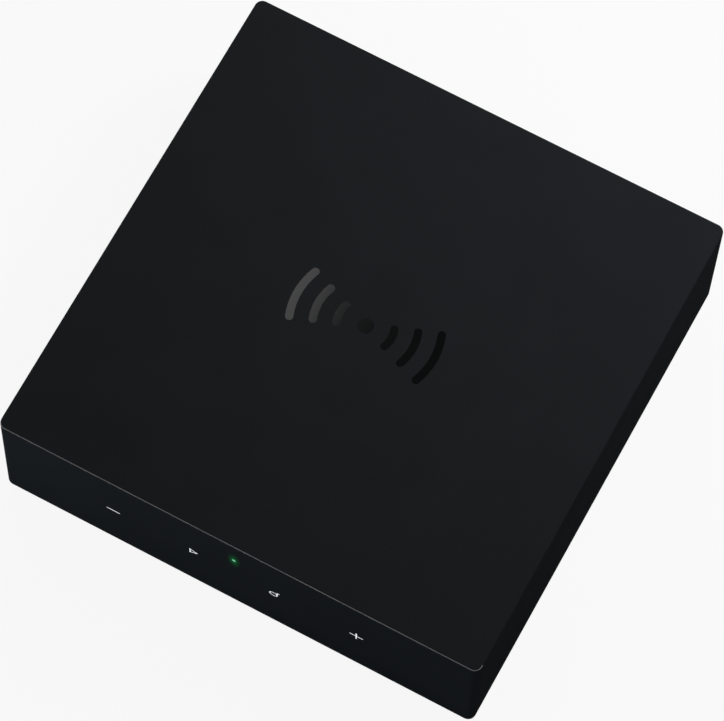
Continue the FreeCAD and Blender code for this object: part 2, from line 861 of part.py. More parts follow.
piece(
    "foot_pad",
    plate(
        "foot_pad",
        between("foot_outer_x"),
        between("foot_outer_y"),
        ("0", "foot_seat"),
        "foot_corner",
    ),
)


def screw(name, x, y, seat, size, head_side):
    """A cross-recess screw whose head lies above (1) or below (-1) its seat."""
    radius, length, head_radius, head_height = (f"{size}_{w}" for w in SCREW_WORDS)
    shaft = (seat, f"{seat} + {length}") if head_side < 0 else (f"{seat} - {length}", seat)
    end = f"{seat} + ({head_side}) * {head_height}"
    inner = f"{end} - ({head_side}) * cross_depth"
    outer = f"{end} + ({head_side})"
    head = rod(name + "_head", head_radius, x, y, (seat, end)[::head_side])
    solid = group(name + "_solid", [head, rod(name + "_shaft", radius, x, y, shaft)])
    reach = f"2 * cross_reach * {head_radius}"
    slot_z = (inner, outer)[::head_side]
    slots = [
        block(name + "_slot", about(x, reach), about(y, "cross_width"), slot_z),
        block(name + "_cross", about(x, "cross_width"), about(y, reach), slot_z),
    ]
    return cut(name, solid, slots)


SCREW_WORDS = ("radius", "length", "head_radius", "head_height")
base_screws = [
    screw(f"case_screw_{n}", x, y, "head_seat", "case_screw", -1)
    for n, (x, y) in enumerate(CASE_SCREWS)
]
piece("base_screws", apart("base_screws", base_screws))

BALLAST_Z = ("floor_top", "floor_top + ballast_thickness")
piece(
    "ballast_plate",
    plate(
        "ballast_plate",
        between("hole_x - standoff_radius - ballast_gap"),
        ("board_front", "board_rear - ballast_setback"),
        BALLAST_Z,
        "board_corner",
    ),
)

# The rear panel, with a hole for each socket

panel_plate = block(
    "panel_plate",
    between("inner_x - panel_gap"),
    ("panel_back", "panel_face"),
    ("floor_top + panel_gap", "ceiling - panel_gap"),
)
PANEL_THROUGH = ("panel_back - 1", "panel_face + 1")


def panel_window(name, x, width, z):
    low, high = z
    wide = about(x, f"{width} + 2 * socket_gap")
    return block(name, wide, PANEL_THROUGH, (f"{low} - socket_gap", f"{high} + socket_gap"))


panel_tools = [
    rod(f"phono_window_{n}", "collar_radius + socket_gap", x, PANEL_THROUGH, z)
    for n, (x, z) in enumerate(PHONOS)
]
OPTICAL_Z = ("board_top", "cavity_roof + optical_roof")
for name, x in OPTICALS.items():
    panel_tools.append(panel_window(name + "_window", x, "optical_width", OPTICAL_Z))
ETHERNET_Z = ("board_top", "board_top + ethernet_height")
panel_tools.append(panel_window("ethernet_window", "ethernet_x", "ethernet_width", ETHERNET_Z))
trigger_hole = "trigger_nose_radius + socket_gap"
panel_tools.append(rod("trigger_window", trigger_hole, "trigger_x", PANEL_THROUGH, "trigger_z"))
USB_Z = ("board_top", "board_top + usb_height")
usb_window = plate(
    "usb_window",
    about("usb_x", "usb_width + 2 * socket_gap"),
    PANEL_THROUGH,
    (f"{USB_Z[0]} - socket_gap", f"{USB_Z[1]} + socket_gap"),
    "usb_height / 2",
    "y",
)
panel_tools.append(usb_window)
piece("rear_panel", cut("rear_panel", panel_plate, panel_tools))

# The touch board and what it carries

TOUCH_Y = ("electrode_face", "touch_back")
touch_plate = block(
    "touch_plate", between("touch_side"), TOUCH_Y, ("touch_low", "touch_high")
)
SHOULDER_GAP = "light_shoulder_radius + light_gap"
touch_hole = rod("touch_light_hole", SHOULDER_GAP, "touch_shift", TOUCH_Y, "light_height")
piece("touch_board", cut("touch_board", touch_plate, [touch_hole]))

electrodes = []
for n, x in enumerate(("minus_x", "play_x", "note_x", "plus_x")):
    wide = about(x, "electrode_width")
    tall = about("mark_height", "electrode_height")
    electrodes.append(block(f"electrode_{n}", wide, (minus("inner_y"), "electrode_face"), tall))
piece("touch_electrodes", apart("touch_electrodes", electrodes))

LED_Y = ("touch_back", "touch_back + led_depth")
led_wide = about("touch_shift", "led_width")
piece("status_led", block("status_led", led_wide, LED_Y, about("light_height", "led_height")))
SHOULDER_Y = (minus("inner_y"), "touch_back")
STEM_Y = (minus("half_depth"), minus("inner_y"))
light_shoulder = rod(
    "light_shoulder", "light_shoulder_radius", "touch_shift", SHOULDER_Y, "light_height"
)
light_stem = rod("light_stem", "light_radius", "touch_shift", STEM_Y, "light_height")
piece("light_pipe", group("light_pipe", [light_stem, light_shoulder]))
piece(
    "touch_chip",
    block(
        "touch_chip",
        about("touch_chip_x", "touch_chip_size"),
        ("touch_back", "touch_back + touch_chip_depth"),
        about("mark_height", "touch_chip_size"),
    ),
)

# The main board and its four screws

BOARD_Z = ("board_low", "board_top")
board_plate = plate(
    "board_plate",
    between("board_side"),
    ("board_front", "board_rear"),
    BOARD_Z,
    "board_corner",
)
board_holes = [
    rod(f"board_hole_{n}", "board_screw_radius + screw_hole_gap", x, y, BOARD_Z)
    for n, (x, y) in enumerate(BOARD_SCREWS)
]
piece("main_board", cut("main_board", board_plate, board_holes))
board_screws = [
    screw(f"board_screw_{n}", x, y, "board_top", "board_screw", 1)
    for n, (x, y) in enumerate(BOARD_SCREWS)
]
piece("board_screws", apart("board_screws", board_screws))

# The flat ribbon and the two sockets it runs between

upper_socket_low = "touch_low + ribbon_socket_rise"
lower_socket_face = "board_front + ribbon_socket_setback"
ribbon_wide = about("ribbon_x", "ribbon_socket_width")
upper_socket = block(
    "upper_ribbon_socket",
    ribbon_wide,
    ("touch_back", "touch_back + ribbon_socket_reach"),
    (upper_socket_low, f"{upper_socket_low} + ribbon_socket_height"),
)
lower_socket = block(
    "lower_ribbon_socket",
    ribbon_wide,
    (lower_socket_face, f"{lower_socket_face} + ribbon_socket_depth"),
    ("board_top", "board_top + ribbon_socket_reach"),
)
piece("ribbon_sockets", apart("ribbon_sockets", [upper_socket, lower_socket]))

ribbon_left = at("ribbon_x") - at("ribbon_width") / 2
ribbon_down_y = at("touch_back") + at("ribbon_socket_reach") / 2
ribbon_level_z = at("board_top") + at("ribbon_socket_reach") / 2
ribbon_path = bent_path(
    [
        Vector(ribbon_left, ribbon_down_y, at("touch_low") + at("ribbon_socket_rise")),
        Vector(ribbon_left, ribbon_down_y, ribbon_level_z),
        Vector(ribbon_left, at("board_front") + at("ribbon_socket_setback"), ribbon_level_z),
    ],
    at("ribbon_bend"),
)
ribbon_start = ribbon_path.Vertexes[0].Point
half_ribbon = Vector(0, at("ribbon_thickness") / 2, 0)
ribbon_end = Part.Wire(
    Part.makePolygon(
        [
            ribbon_start - half_ribbon,
            ribbon_start + half_ribbon,
            ribbon_start + half_ribbon + Vector(at("ribbon_width"), 0, 0),
            ribbon_start - half_ribbon + Vector(at("ribbon_width"), 0, 0),
            ribbon_start - half_ribbon,
        ]
    ).Edges
)
piece("touch_ribbon", free_shape("touch_ribbon", ribbon_path.makePipeShell([ribbon_end], True, False)))

# The network module: header strips, board, shield can, thermal pad and heat sink

MODULE_X = ("module_left", "module_right")
MODULE_Y = ("module_front", "module_back")
module_plate = block("network_module", MODULE_X, MODULE_Y, ("header_top", "module_top"))
piece("network_module", module_plate)
strips = []
for side, word in zip(SIDES, ("front", "back")):
    middle = f"module_y + ({side}) * (module_depth / 2 - header_inset - header_depth / 2)"
    deep = about(middle, "header_depth")
    wide = about("module_x", "header_width")
    strips.append(block(f"header_{word}", wide, deep, ("board_top", "header_top")))
piece("module_header", apart("module_header", strips))

SHIELD = ("shield_left", "shield_right", "shield_front", "shield_back")
left, right, front, back = SHIELD
can = block("shield_can", (left, right), (front, back), ("module_top", "shield_top"))
room = block(
    "shield_room",
    (f"{left} + shield_wall", f"{right} - shield_wall"),
    (f"{front} + shield_wall", f"{back} - shield_wall"),
    ("module_top - 1", "shield_top - shield_wall"),
)
piece("module_shield", cut("module_shield", can, [room]))
pad_x = (f"{left} + pad_inset", f"{right} - pad_inset")
pad_y = (f"{front} + pad_inset", f"{back} - pad_inset")
piece("thermal_pad", block("thermal_pad", pad_x, pad_y, ("shield_top", "pad_top")))

sink_x = (f"{left} + sink_inset", f"{right} - sink_inset")
sink_y = (f"{front} + sink_inset", f"{back} - sink_inset")
sink_parts = [block("sink_base", sink_x, sink_y, ("pad_top", "pad_top + sink_base"))]
sink_top = "pad_top + sink_height"
for n in range(int(at("sink_fins"))):
    low = f"{sink_x[0]} + {n} * ({sink_x[1]} - ({sink_x[0]}) - sink_fin) / (sink_fins - 1)"
    fin_z = ("pad_top + sink_base / 2", sink_top)
    sink_parts.append(block(f"sink_fin_{n}", (low, f"{low} + sink_fin"), sink_y, fin_z))
piece("heat_sink", group("heat_sink", sink_parts))

# Small parts on the main board


def on_board(name, x, y, width, depth, height):
    return block(name, about(x, width), about(y, depth), ("board_top", f"board_top + {height}"))


piece("dac_chip", on_board("dac_chip", "dac_x", "dac_y", "dac_size", "dac_size", "dac_height"))
AMPLIFIER = ("amplifier_width", "amplifier_length", "amplifier_height")
amplifiers = [
    on_board(f"amplifier_{n}", f"amplifier_x + {n} * amplifier_pitch", "amplifier_y", *AMPLIFIER)
    for n in range(3)
]
piece("audio_amplifiers", apart("audio_amplifiers", amplifiers))
RELAY = ("relay_width", "relay_depth", "relay_height")
relays = [
    on_board(f"relay_{n}", f"relay_x + {n} * relay_pitch", "relay_y", *RELAY) for n in range(2)
]
piece("mute_relays", apart("mute_relays", relays))
transformer_y = "ethernet_back - transformer_setback - transformer_depth / 2"
TRANSFORMER = ("transformer_width", "transformer_depth", "transformer_height")
transformer = on_board("ethernet_transformer", "ethernet_x", transformer_y, *TRANSFORMER)
piece("ethernet_transformer", transformer)
CRYSTAL = ("crystal_width", "crystal_depth", "crystal_height")
crystals = [
    on_board(f"crystal_{n}", "crystal_x", f"dac_y + {side} * crystal_pitch / 2", *CRYSTAL)
    for n, side in enumerate(SIDES)
]
piece("clock_crystals", apart("clock_crystals", crystals))
INDUCTOR = ("inductor_size", "inductor_size", "inductor_height")
inductors = [
    on_board(f"inductor_{n}", f"inductor_x + {n} * inductor_pitch", "inductor_y", *INDUCTOR)
    for n in range(3)
]
piece("power_inductors", apart("power_inductors", inductors))

cans = []
for n in range(4):
    x = f"can_x + {n % 2} * can_pitch"
    y = f"can_y + {n // 2} * can_pitch"
    foot = on_board(f"can_foot_{n}", x, y, "can_base_size", "can_base_size", "can_base")
    drum = rod(f"can_{n}", "can_radius", x, y, ("board_top", "board_top + can_height"))
    cans.append(group(f"filter_can_{n}", [foot, drum]))
piece("filter_capacitors", apart("filter_capacitors", cans))

CERAMIC = ("ceramic_length", "ceramic_width", "ceramic_height")
ceramics = []
for n in range(12):
    x = f"ceramic_x + {n % 6} * ceramic_pitch"
    y = f"ceramic_y + {n // 6} * ceramic_row_pitch"
    ceramics.append(on_board(f"ceramic_{n}", x, y, *CERAMIC))
piece("ceramic_capacitors", apart("ceramic_capacitors", ceramics))

# The aerials on the side walls, and their leads from two plugs on the network module

AERIAL_Y = about("aerial_y", "aerial_length")
AERIAL_Z = ("aerial_low", "aerial_high")
aerials = [
    block("aerial_left", (minus("inner_x"), minus("aerial_face")), AERIAL_Y, AERIAL_Z),
    block("aerial_right", ("aerial_face", "inner_x"), AERIAL_Y, AERIAL_Z),
]
piece("antennas", apart("antennas", aerials))
plugs = [
    rod(f"plug_{word}", "plug_radius", "plug_x", place, ("module_top", "plug_top"))
    for word, place in (("left", "plug_y + plug_pitch / 2"), ("right", "plug_y - plug_pitch / 2"))
]
piece("antenna_plugs", apart("antenna_plugs", plugs))

lead_z = at("lead_z")
lead_edge = at("board_side") + at("lead_board_gap")
aerial_mid = (at("aerial_low") + at("aerial_high")) / 2
left_y = at("plug_y") + at("plug_pitch") / 2
left_lead = bent_path(
    [
        Vector(at("plug_x") - at("plug_radius"), left_y, lead_z),
        Vector(-lead_edge, left_y, lead_z),
        Vector(-lead_edge, left_y, aerial_mid),
        Vector(-at("aerial_face"), left_y, aerial_mid),
    ],
    at("lead_bend"),
)
front_y = at("module_front") - at("lead_module_gap")
right_lead = bent_path(
    [
        Vector(at("plug_x"), at("plug_y") - at("plug_pitch") / 2 - at("plug_radius"), lead_z),
        Vector(at("plug_x"), front_y, lead_z),
        Vector(lead_edge, front_y, lead_z),
        Vector(lead_edge, at("aerial_y"), lead_z),
        Vector(lead_edge, at("aerial_y"), aerial_mid),
        Vector(at("aerial_face"), at("aerial_y"), aerial_mid),
    ],
    at("lead_bend"),
)
for word, path in (("left", left_lead), ("right", right_lead)):
    name = "antenna_cable_" + word
    piece(name, free_shape(name, round_wire(path, at("lead_diameter") / 2)))

# The phono sockets: moulded blocks, coloured inserts, metal barrels and centre contacts

JACK_Y = ("jack_seat - phono_body_depth", "jack_seat")
TUBE_HOLE = "pin_tube_radius + pin_fit"
TUBE_HOLE_Y = ("pin_tube_root", "jack_seat + 1")


def phono_block(name, x, width, rows):
    top = f"{rows[-1]} + phono_body_margin"
    solid = block(name + "_solid", about(x, width), JACK_Y, ("board_top", top))
    holes = [rod(f"{name}_{row}", TUBE_HOLE, x, TUBE_HOLE_Y, row) for row in rows]
    return cut(name, solid, holes)


ROWS = ("phono_low", "phono_high")
for name in ("line_in", "line_out"):
    moulded = phono_block(name + "_body", name + "_x", "phono_body_width", ROWS)
    piece(name + "_body", moulded)
piece("coax_body", phono_block("coax_body", "coax_x", "coax_body_width", ROWS[:1]))

INSERT = [
    (TUBE_HOLE, "jack_seat"),
    ("collar_radius", "jack_seat"),
    ("collar_radius", "collar_face - collar_chamfer"),
    ("collar_radius - collar_chamfer", "collar_face"),
    ("insert_core_radius", "collar_face"),
    ("insert_core_radius", "insert_end"),
    (TUBE_HOLE, "insert_end"),
]
BARREL = [
    ("barrel_radius - barrel_wall", "collar_face"),
    ("barrel_radius", "collar_face"),
    ("barrel_radius", "barrel_end - barrel_lip"),
    ("barrel_radius - barrel_lip", "barrel_end"),
    ("barrel_radius - barrel_wall", "barrel_end"),
]
TUBE = [
    ("pin_bore_radius", "pin_tube_root"),
    ("pin_tube_radius", "pin_tube_root"),
    ("pin_tube_radius", "insert_end - pin_tube_setback"),
    ("pin_bore_radius", "insert_end - pin_tube_setback"),
]
for colour, rows in (("white", WHITE_PHONOS), ("red", RED_PHONOS)):
    for name, (x, z) in rows.items():
        insert = f"{name}_{colour}_insert"
        piece(insert, turned_body(insert, INSERT, x, "0", z))
piece("coax_insert", turned_body("coax_insert", INSERT, "coax_x", "0", "phono_low"))
barrels = [turned_body(f"barrel_{n}", BARREL, x, "0", z) for n, (x, z) in enumerate(PHONOS)]
piece("phono_barrels", apart("phono_barrels", barrels))
tubes = [turned_body(f"pin_tube_{n}", TUBE, x, "0", z) for n, (x, z) in enumerate(PHONOS)]
piece("phono_contacts", apart("phono_contacts", tubes))

# The optical sockets: housing, top-hung shutter with its coil spring, and light element

SHUTTER_WIDE = "2 * shutter_half"
NOTCH_LOW = "pivot_z - hub_radius - spring_wire"


def optical_housing(name, x):
    y = ("optical_back", "optical_face")
    shell = block(name + "_shell", about(x, "optical_width"), y, OPTICAL_Z)
    half = "aperture_size / 2"
    mouth = [
        (f"{x} - {half}", "aperture_low"),
        (f"{x} + {half}", "aperture_low"),
        (f"{x} + {half}", "aperture_high - aperture_key"),
        (f"{x} + {half} - aperture_key", "aperture_high"),
        (f"{x} - {half} + aperture_key", "aperture_high"),
        (f"{x} - {half}", "aperture_high - aperture_key"),
    ]
    cavity_y = ("cavity_back", "cavity_front")
    cavity_z = ("cavity_low", "cavity_roof")
    pivot_reach = "2 * (cavity_half + trunnion_length + trunnion_fit)"
    pivot_hole = "trunnion_radius + trunnion_fit"
    element_y = ("optical_back - 1", "cavity_back + 1")
    tools = [
        padded_body(name + "_mouth", mouth, ("cavity_front - 1", "optical_face + 1"), "y"),
        block(name + "_cavity", about(x, "2 * cavity_half"), cavity_y, cavity_z),
        rod(name + "_pivot_hole", pivot_hole, about(x, pivot_reach), "pivot_y", "pivot_z"),
        rod(name + "_element_hole", "opto_radius + opto_fit", x, element_y, "optical_axis"),
    ]
    return cut(name, shell, tools)


def optical_shutter(name, x):
    """A flap hung from two trunnions, notched at its top for the spring."""
    flap_y = ("shutter_back", "shutter_front")
    flap = block(name + "_flap", about(x, SHUTTER_WIDE), flap_y, ("shutter_low", "pivot_z"))
    hub = rod(name + "_hub", "hub_radius", about(x, SHUTTER_WIDE), "pivot_y", "pivot_z")
    hung = group(name + "_hung", [flap, hub])
    notch_z = (NOTCH_LOW, "pivot_z + hub_radius + 1")
    notch_y = ("shutter_back - 1", "shutter_front + 1")
    notch = block(name + "_notch", about(x, "spring_notch"), notch_y, notch_z)
    notched = cut(name + "_notched", hung, [notch])
    core_reach = about(x, "spring_notch + 1")
    core = rod(name + "_core", "spring_core_radius", core_reach, "pivot_y", "pivot_z")
    pin_reach = "cavity_half + trunnion_length"
    pins = []
    for side, word in zip(SIDES, ("left", "right")):
        ends = (f"{x} + {side} * spring_notch", f"{x} + {side} * ({pin_reach})")
        reach = ends[::side]
        pins.append(rod(f"{name}_pin_{word}", "trunnion_radius", reach, "pivot_y", "pivot_z"))
    return group(name, [notched, core, *pins])


COIL_STEPS = 24
LEG_STEPS = 12
TOE_STEPS = 3


def coil_spring(name, x):
    """A close coil about the pivot, with one leg behind the flap and one against the face."""
    middle = Vector(at(x), at("pivot_y"), at("pivot_z"))
    radius, turns = at("spring_radius"), at("spring_turns")
    width = turns * at("spring_pitch")
    steps = int(COIL_STEPS * turns)
    coil = []
    for step in range(steps + 1):
        turn = math.radians(180 - 360 * turns * step / steps)
        across = width * (step / steps - 0.5)
        coil.append(middle + Vector(across, radius * math.cos(turn), radius * math.sin(turn)))
    down = Vector(0, 0, -at("spring_leg") / LEG_STEPS)
    onward = Vector(0, math.sin(turn), -math.cos(turn)) * (at("spring_toe") / TOE_STEPS)
    leg = [coil[0] + down * step for step in range(LEG_STEPS, 0, -1)]
    toe = [coil[-1] + onward * step for step in range(1, TOE_STEPS + 1)]
    path = Part.BSplineCurve()
    path.interpolate(leg + coil + toe)
    return free_shape(name, round_wire(Part.Wire([path.toShape()]), at("spring_wire") / 2))


for name, x in OPTICALS.items():
    piece(name + "_housing", optical_housing(name + "_housing", x))
    piece(name + "_shutter", optical_shutter(name + "_shutter", x))
    piece(name + "_spring", coil_spring(name + "_spring", x))
for name, x in (("optical_emitter", "optical_out_x"), ("optical_receiver", "optical_in_x")):
    element_y = ("cavity_back - opto_depth", "cavity_back")
    lens_y = ("cavity_back - 1", "cavity_back + lens_reach")
    element = rod(name + "_case", "opto_radius", x, element_y, "optical_axis")
    lens = rod(name + "_lens", "lens_radius", x, lens_y, "optical_axis")
    piece(name, group(name, [element, lens]))

# The trigger jack

trigger_solid = group(
    "trigger_solid",
    [
        block(
            "trigger_block",
            about("trigger_x", "trigger_width"),
            ("jack_seat - trigger_depth", "jack_seat"),
            ("board_top", "board_top + trigger_height"),
        ),
        rod(
            "trigger_nose",
            "trigger_nose_radius",
            "trigger_x",
            ("jack_seat - 1", "trigger_face"),
            "trigger_z",
        ),
    ],
)
bore_y = ("trigger_face - trigger_bore_depth", "trigger_face + 1")
trigger_bore = rod("trigger_bore", "trigger_bore_radius", "trigger_x", bore_y, "trigger_z")
spring_reach = "trigger_bore_radius + trigger_contact_gap"
contact_mid_y = "trigger_face - trigger_bore_depth / 2"
slot_x = about("trigger_x", f"2 * ({spring_reach} + trigger_contact_thickness)")
slot_y = about(contact_mid_y, "trigger_contact_length")
slot_z = about("trigger_z", "trigger_contact_width")
trigger_slot = block("trigger_slot", slot_x, slot_y, slot_z)
piece("trigger_jack_body", cut("trigger_jack_body", trigger_solid, [trigger_bore, trigger_slot]))
leaves = []
for side, word in zip(SIDES, ("left", "right")):
    ends = (
        f"trigger_x + {side} * ({spring_reach})",
        f"trigger_x + {side} * ({spring_reach} + trigger_contact_thickness)",
    )
    leaves.append(block(f"trigger_leaf_{word}", ends[::side], slot_y, slot_z))
piece("trigger_contacts", apart("trigger_contacts", leaves))

# The network socket

shell_x = about("ethernet_x", "ethernet_width")
inner_wide = about("ethernet_x", "ethernet_width - 2 * ethernet_shell")
inner_deep = ("ethernet_back + ethernet_shell", "ethernet_face - ethernet_shell")
inner_tall = (ETHERNET_Z[0], f"{ETHERNET_Z[1]} - ethernet_shell")
mouth_steps = (
    ("ethernet_mouth_width", "mouth_high", "mouth_low"),
    ("latch_width", "mouth_low", "mouth_low - latch_drop"),
    ("latch_slot_width", "mouth_low - latch_drop", "mouth_low - latch_drop - latch_slot_drop"),
)
right_side, left_side = [], []
for width, high, low in mouth_steps:
    right_side += [(f"ethernet_x + {width} / 2", high), (f"ethernet_x + {width} / 2", low)]
    left_side += [(f"ethernet_x - {width} / 2", high), (f"ethernet_x - {width} / 2", low)]
mouth_y = ("mouth_back", "ethernet_face + 1")
mouth = padded_body("ethernet_mouth", right_side + left_side[::-1], mouth_y, "y")
outer_shell = block(
    "ethernet_outer", shell_x, ("ethernet_back", "ethernet_face"), ETHERNET_Z
)
inner_room = block("ethernet_room", inner_wide, inner_deep, inner_tall)
piece("ethernet_shield", cut("ethernet_shield", outer_shell, [inner_room, mouth]))

wires = []
grooves = []
wire_front = "ethernet_face - ethernet_shell - wire_setback"
for n in range(8):
    x = f"ethernet_x + {n - 3.5} * wire_pitch"
    wide = about(x, "wire_width")
    bend = f"{wire_front} - wire_root"
    tip_y = f"{bend} - wire_length * cos(wire_angle * 1deg)"
    tip_z = "mouth_high - wire_length * sin(wire_angle * 1deg)"
    profile = [
        (wire_front, "mouth_high"),
        (wire_front, "mouth_high + wire_thickness"),
        (bend, "mouth_high + wire_thickness"),
        (tip_y, f"{tip_z} + wire_thickness"),
        (tip_y, tip_z),
        (bend, "mouth_high"),
    ]
    wires.append(padded_body(f"wire_{n}", profile, wide, "x"))
    groove_z = ("mouth_high - 1", "mouth_high + wire_thickness")
    groove_y = (f"{bend} - wire_thickness / tan(wire_angle * 1deg)", wire_front)
    grooves.append(block(f"wire_groove_{n}", wide, groove_y, groove_z))
ethernet_core = block("ethernet_core", inner_wide, inner_deep, inner_tall)
piece("ethernet_insert", cut("ethernet_insert", ethernet_core, [mouth, *grooves]))
piece("ethernet_contacts", apart("ethernet_contacts", wires))

# The power socket

usb_outer = plate(
    "usb_outer",
    about("usb_x", "usb_width"),
    ("usb_back", "usb_face"),
    USB_Z,
    "usb_height / 2 - usb_flat / 2",
    "y",
)
usb_inside = [
    (name, about("usb_x", "usb_width - 2 * usb_wall"), y)
    for name, y in (
        ("usb_room", ("usb_back - 1", "usb_face + 1")),
        ("usb_plug", ("usb_back", "usb_back + usb_block_depth")),
    )
]
usb_room, usb_block = [
    plate(
        name,
        x,
        y,
        about("usb_z", "usb_height - 2 * usb_wall"),
        "usb_height / 2 - usb_wall - usb_flat / 2",
        "y",
    )
    for name, x, y in usb_inside
]
piece("usb_shell", cut("usb_shell", usb_outer, [usb_room]))
usb_blade = block(
    "usb_blade",
    about("usb_x", "usb_tongue_width"),
    ("usb_back + usb_block_depth / 2", "usb_face - usb_tongue_setback"),
    about("usb_z", "usb_tongue_height"),
)
piece("usb_tongue", group("usb_tongue", [usb_block, usb_blade]))

doc.recompute()
for item in doc.Objects:
    faults = [state for state in item.State if state in ("Error", "Invalid", "Touched")]
    if faults:
        raise RuntimeError(f"{item.Label} was not computed: {faults}")

os.makedirs("parts", exist_ok=True)
for name, made in PIECES.items():
    shape = made.Shape
    if shape.isNull() or not shape.isValid() or not shape.Solids:
        raise RuntimeError(f"{name} is not a valid solid")
    shape.exportStep(f"parts/{name}.step")
    print(f"{name}: {len(shape.Solids)} solids, {shape.Volume:.1f} cubic millimetres")
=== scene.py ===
# %% [markdown]
# # A small network music player in Blender
#
# This lesson dresses a finished CAD model. The real object is a square, flat box of black moulded
# plastic that plays music from the network. Its front has four touch marks and a green lamp, and
# its back has a recessed bay of sockets.
#
# The CAD model comes in first, as a fixed frame. It could be modelled again by hand, but then the
# picture and the machine model would drift apart, so here the CAD stays and gets its finish.

# %% Load the frame
import json
import math

import bmesh
import bpy
from mathutils import Matrix, Vector


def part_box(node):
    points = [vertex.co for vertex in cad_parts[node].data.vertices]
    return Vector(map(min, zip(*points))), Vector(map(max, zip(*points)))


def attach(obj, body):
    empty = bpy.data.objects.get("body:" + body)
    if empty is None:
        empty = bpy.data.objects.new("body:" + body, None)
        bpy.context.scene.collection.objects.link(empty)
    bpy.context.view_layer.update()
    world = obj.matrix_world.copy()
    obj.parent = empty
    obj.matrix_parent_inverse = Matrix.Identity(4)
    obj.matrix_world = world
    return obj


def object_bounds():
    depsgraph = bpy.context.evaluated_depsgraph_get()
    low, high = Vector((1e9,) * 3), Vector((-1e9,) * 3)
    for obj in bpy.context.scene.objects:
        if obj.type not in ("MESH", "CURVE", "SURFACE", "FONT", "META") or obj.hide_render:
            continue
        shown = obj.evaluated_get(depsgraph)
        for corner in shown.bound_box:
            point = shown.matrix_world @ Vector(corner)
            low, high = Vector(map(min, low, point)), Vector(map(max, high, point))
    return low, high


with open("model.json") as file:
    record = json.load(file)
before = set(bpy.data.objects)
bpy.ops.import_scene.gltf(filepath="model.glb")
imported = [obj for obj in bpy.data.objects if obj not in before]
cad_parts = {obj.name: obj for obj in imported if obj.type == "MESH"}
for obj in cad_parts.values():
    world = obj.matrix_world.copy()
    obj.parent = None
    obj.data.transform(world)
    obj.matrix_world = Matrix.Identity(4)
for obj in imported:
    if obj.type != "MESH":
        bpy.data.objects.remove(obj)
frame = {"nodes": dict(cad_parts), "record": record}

CAD_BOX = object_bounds()
MM = 0.001
nodes = frame["nodes"]
print("CAD nodes:", len(nodes), "box:", [[round(c, 4) for c in corner] for corner in CAD_BOX])

# %% [markdown]
# ## The camera
#
# The photograph looks down on the player from above, a little to its front and right, with the
# camera rolled so that the box stands on its front right corner. The camera's place could be found
# by eye, but the straight edges of the box and its touch marks give it closely, so these numbers
# come from a fit to them.

# %% Place the camera
IMAGE_WIDTH = 724
FOCAL_PIXELS = 4462.3
CAMERA_PLACE = Vector((0.191334, -0.400297, 1.114106))
CAMERA_RIGHT = Vector((0.8803384, 0.4739645, 0.0190243))
CAMERA_UP = Vector((-0.4457903, 0.8129706, 0.3746329))
CAMERA_BACK = Vector((0.1620965, -0.3382846, 0.9269780))

camera_data = bpy.data.cameras.new("camera")
camera_data.sensor_width = 36.0
camera_data.lens = FOCAL_PIXELS / IMAGE_WIDTH * camera_data.sensor_width
camera_data.clip_start = 0.05
camera_data.clip_end = 50.0
camera = bpy.data.objects.new("camera", camera_data)
bpy.context.scene.collection.objects.link(camera)
turn = Matrix((CAMERA_RIGHT, CAMERA_UP, CAMERA_BACK)).transposed()
camera.matrix_world = Matrix.Translation(CAMERA_PLACE) @ turn.to_4x4()
bpy.context.scene.camera = camera
print("camera lens:", round(camera_data.lens, 1), "mm")

# %% [markdown]
# ## Sums on shader sockets
#
# A material in Blender is a graph of nodes, and even a small sum takes three of them. Wiring each
# by hand hides what the material does. A small class that wraps a socket lets Python's own signs
# add the Math nodes, so that a recipe reads as the sum that it is.


# %% A socket that Python can do sums with
class Value:
    """One output of a material's node graph."""

    def __init__(self, recipe, socket):
        self.recipe = recipe
        self.socket = socket

    def sum(self, operation, first, second=None):
        inputs = [first] if second is None else [first, second]
        return self.recipe.add("ShaderNodeMath", {"operation": operation}, inputs)

    def __add__(self, other):
        return self.sum("ADD", self, other)

    def __radd__(self, other):
        return self.sum("ADD", other, self)

    def __sub__(self, other):
        return self.sum("SUBTRACT", self, other)

    def __rsub__(self, other):
        return self.sum("SUBTRACT", other, self)

    def __mul__(self, other):
        return self.sum("MULTIPLY", self, other)

    def __rmul__(self, other):
        return self.sum("MULTIPLY", other, self)

    def __truediv__(self, other):
        return self.sum("DIVIDE", self, other)

    def __rtruediv__(self, other):
        return self.sum("DIVIDE", other, self)

    def __pow__(self, other):
        return self.sum("POWER", self, other)

    def __rpow__(self, other):
        return self.sum("POWER", other, self)

    def __gt__(self, other):
        return self.sum("GREATER_THAN", self, other)

    def __lt__(self, other):
        return self.sum("LESS_THAN", self, other)

    def __abs__(self):
        return self.sum("ABSOLUTE", self)

    def most(self, other):
        return self.sum("MAXIMUM", self, other)

    def fraction(self):
        return self.sum("FRACT", self)

    def floor(self):
        return self.sum("FLOOR", self)


print("besides Python's signs, a Value has:", [name for name in vars(Value) if name[0] != "_"])

# %% [markdown]
# ## A recipe for a material
#
# Each material here has one Principled shader. What feeds it starts from the object's own
# coordinates, so a pattern keeps its size in millimetres and stays in its place from every side.
# One method adds any node, and the short ones after it are the few that these finishes need.


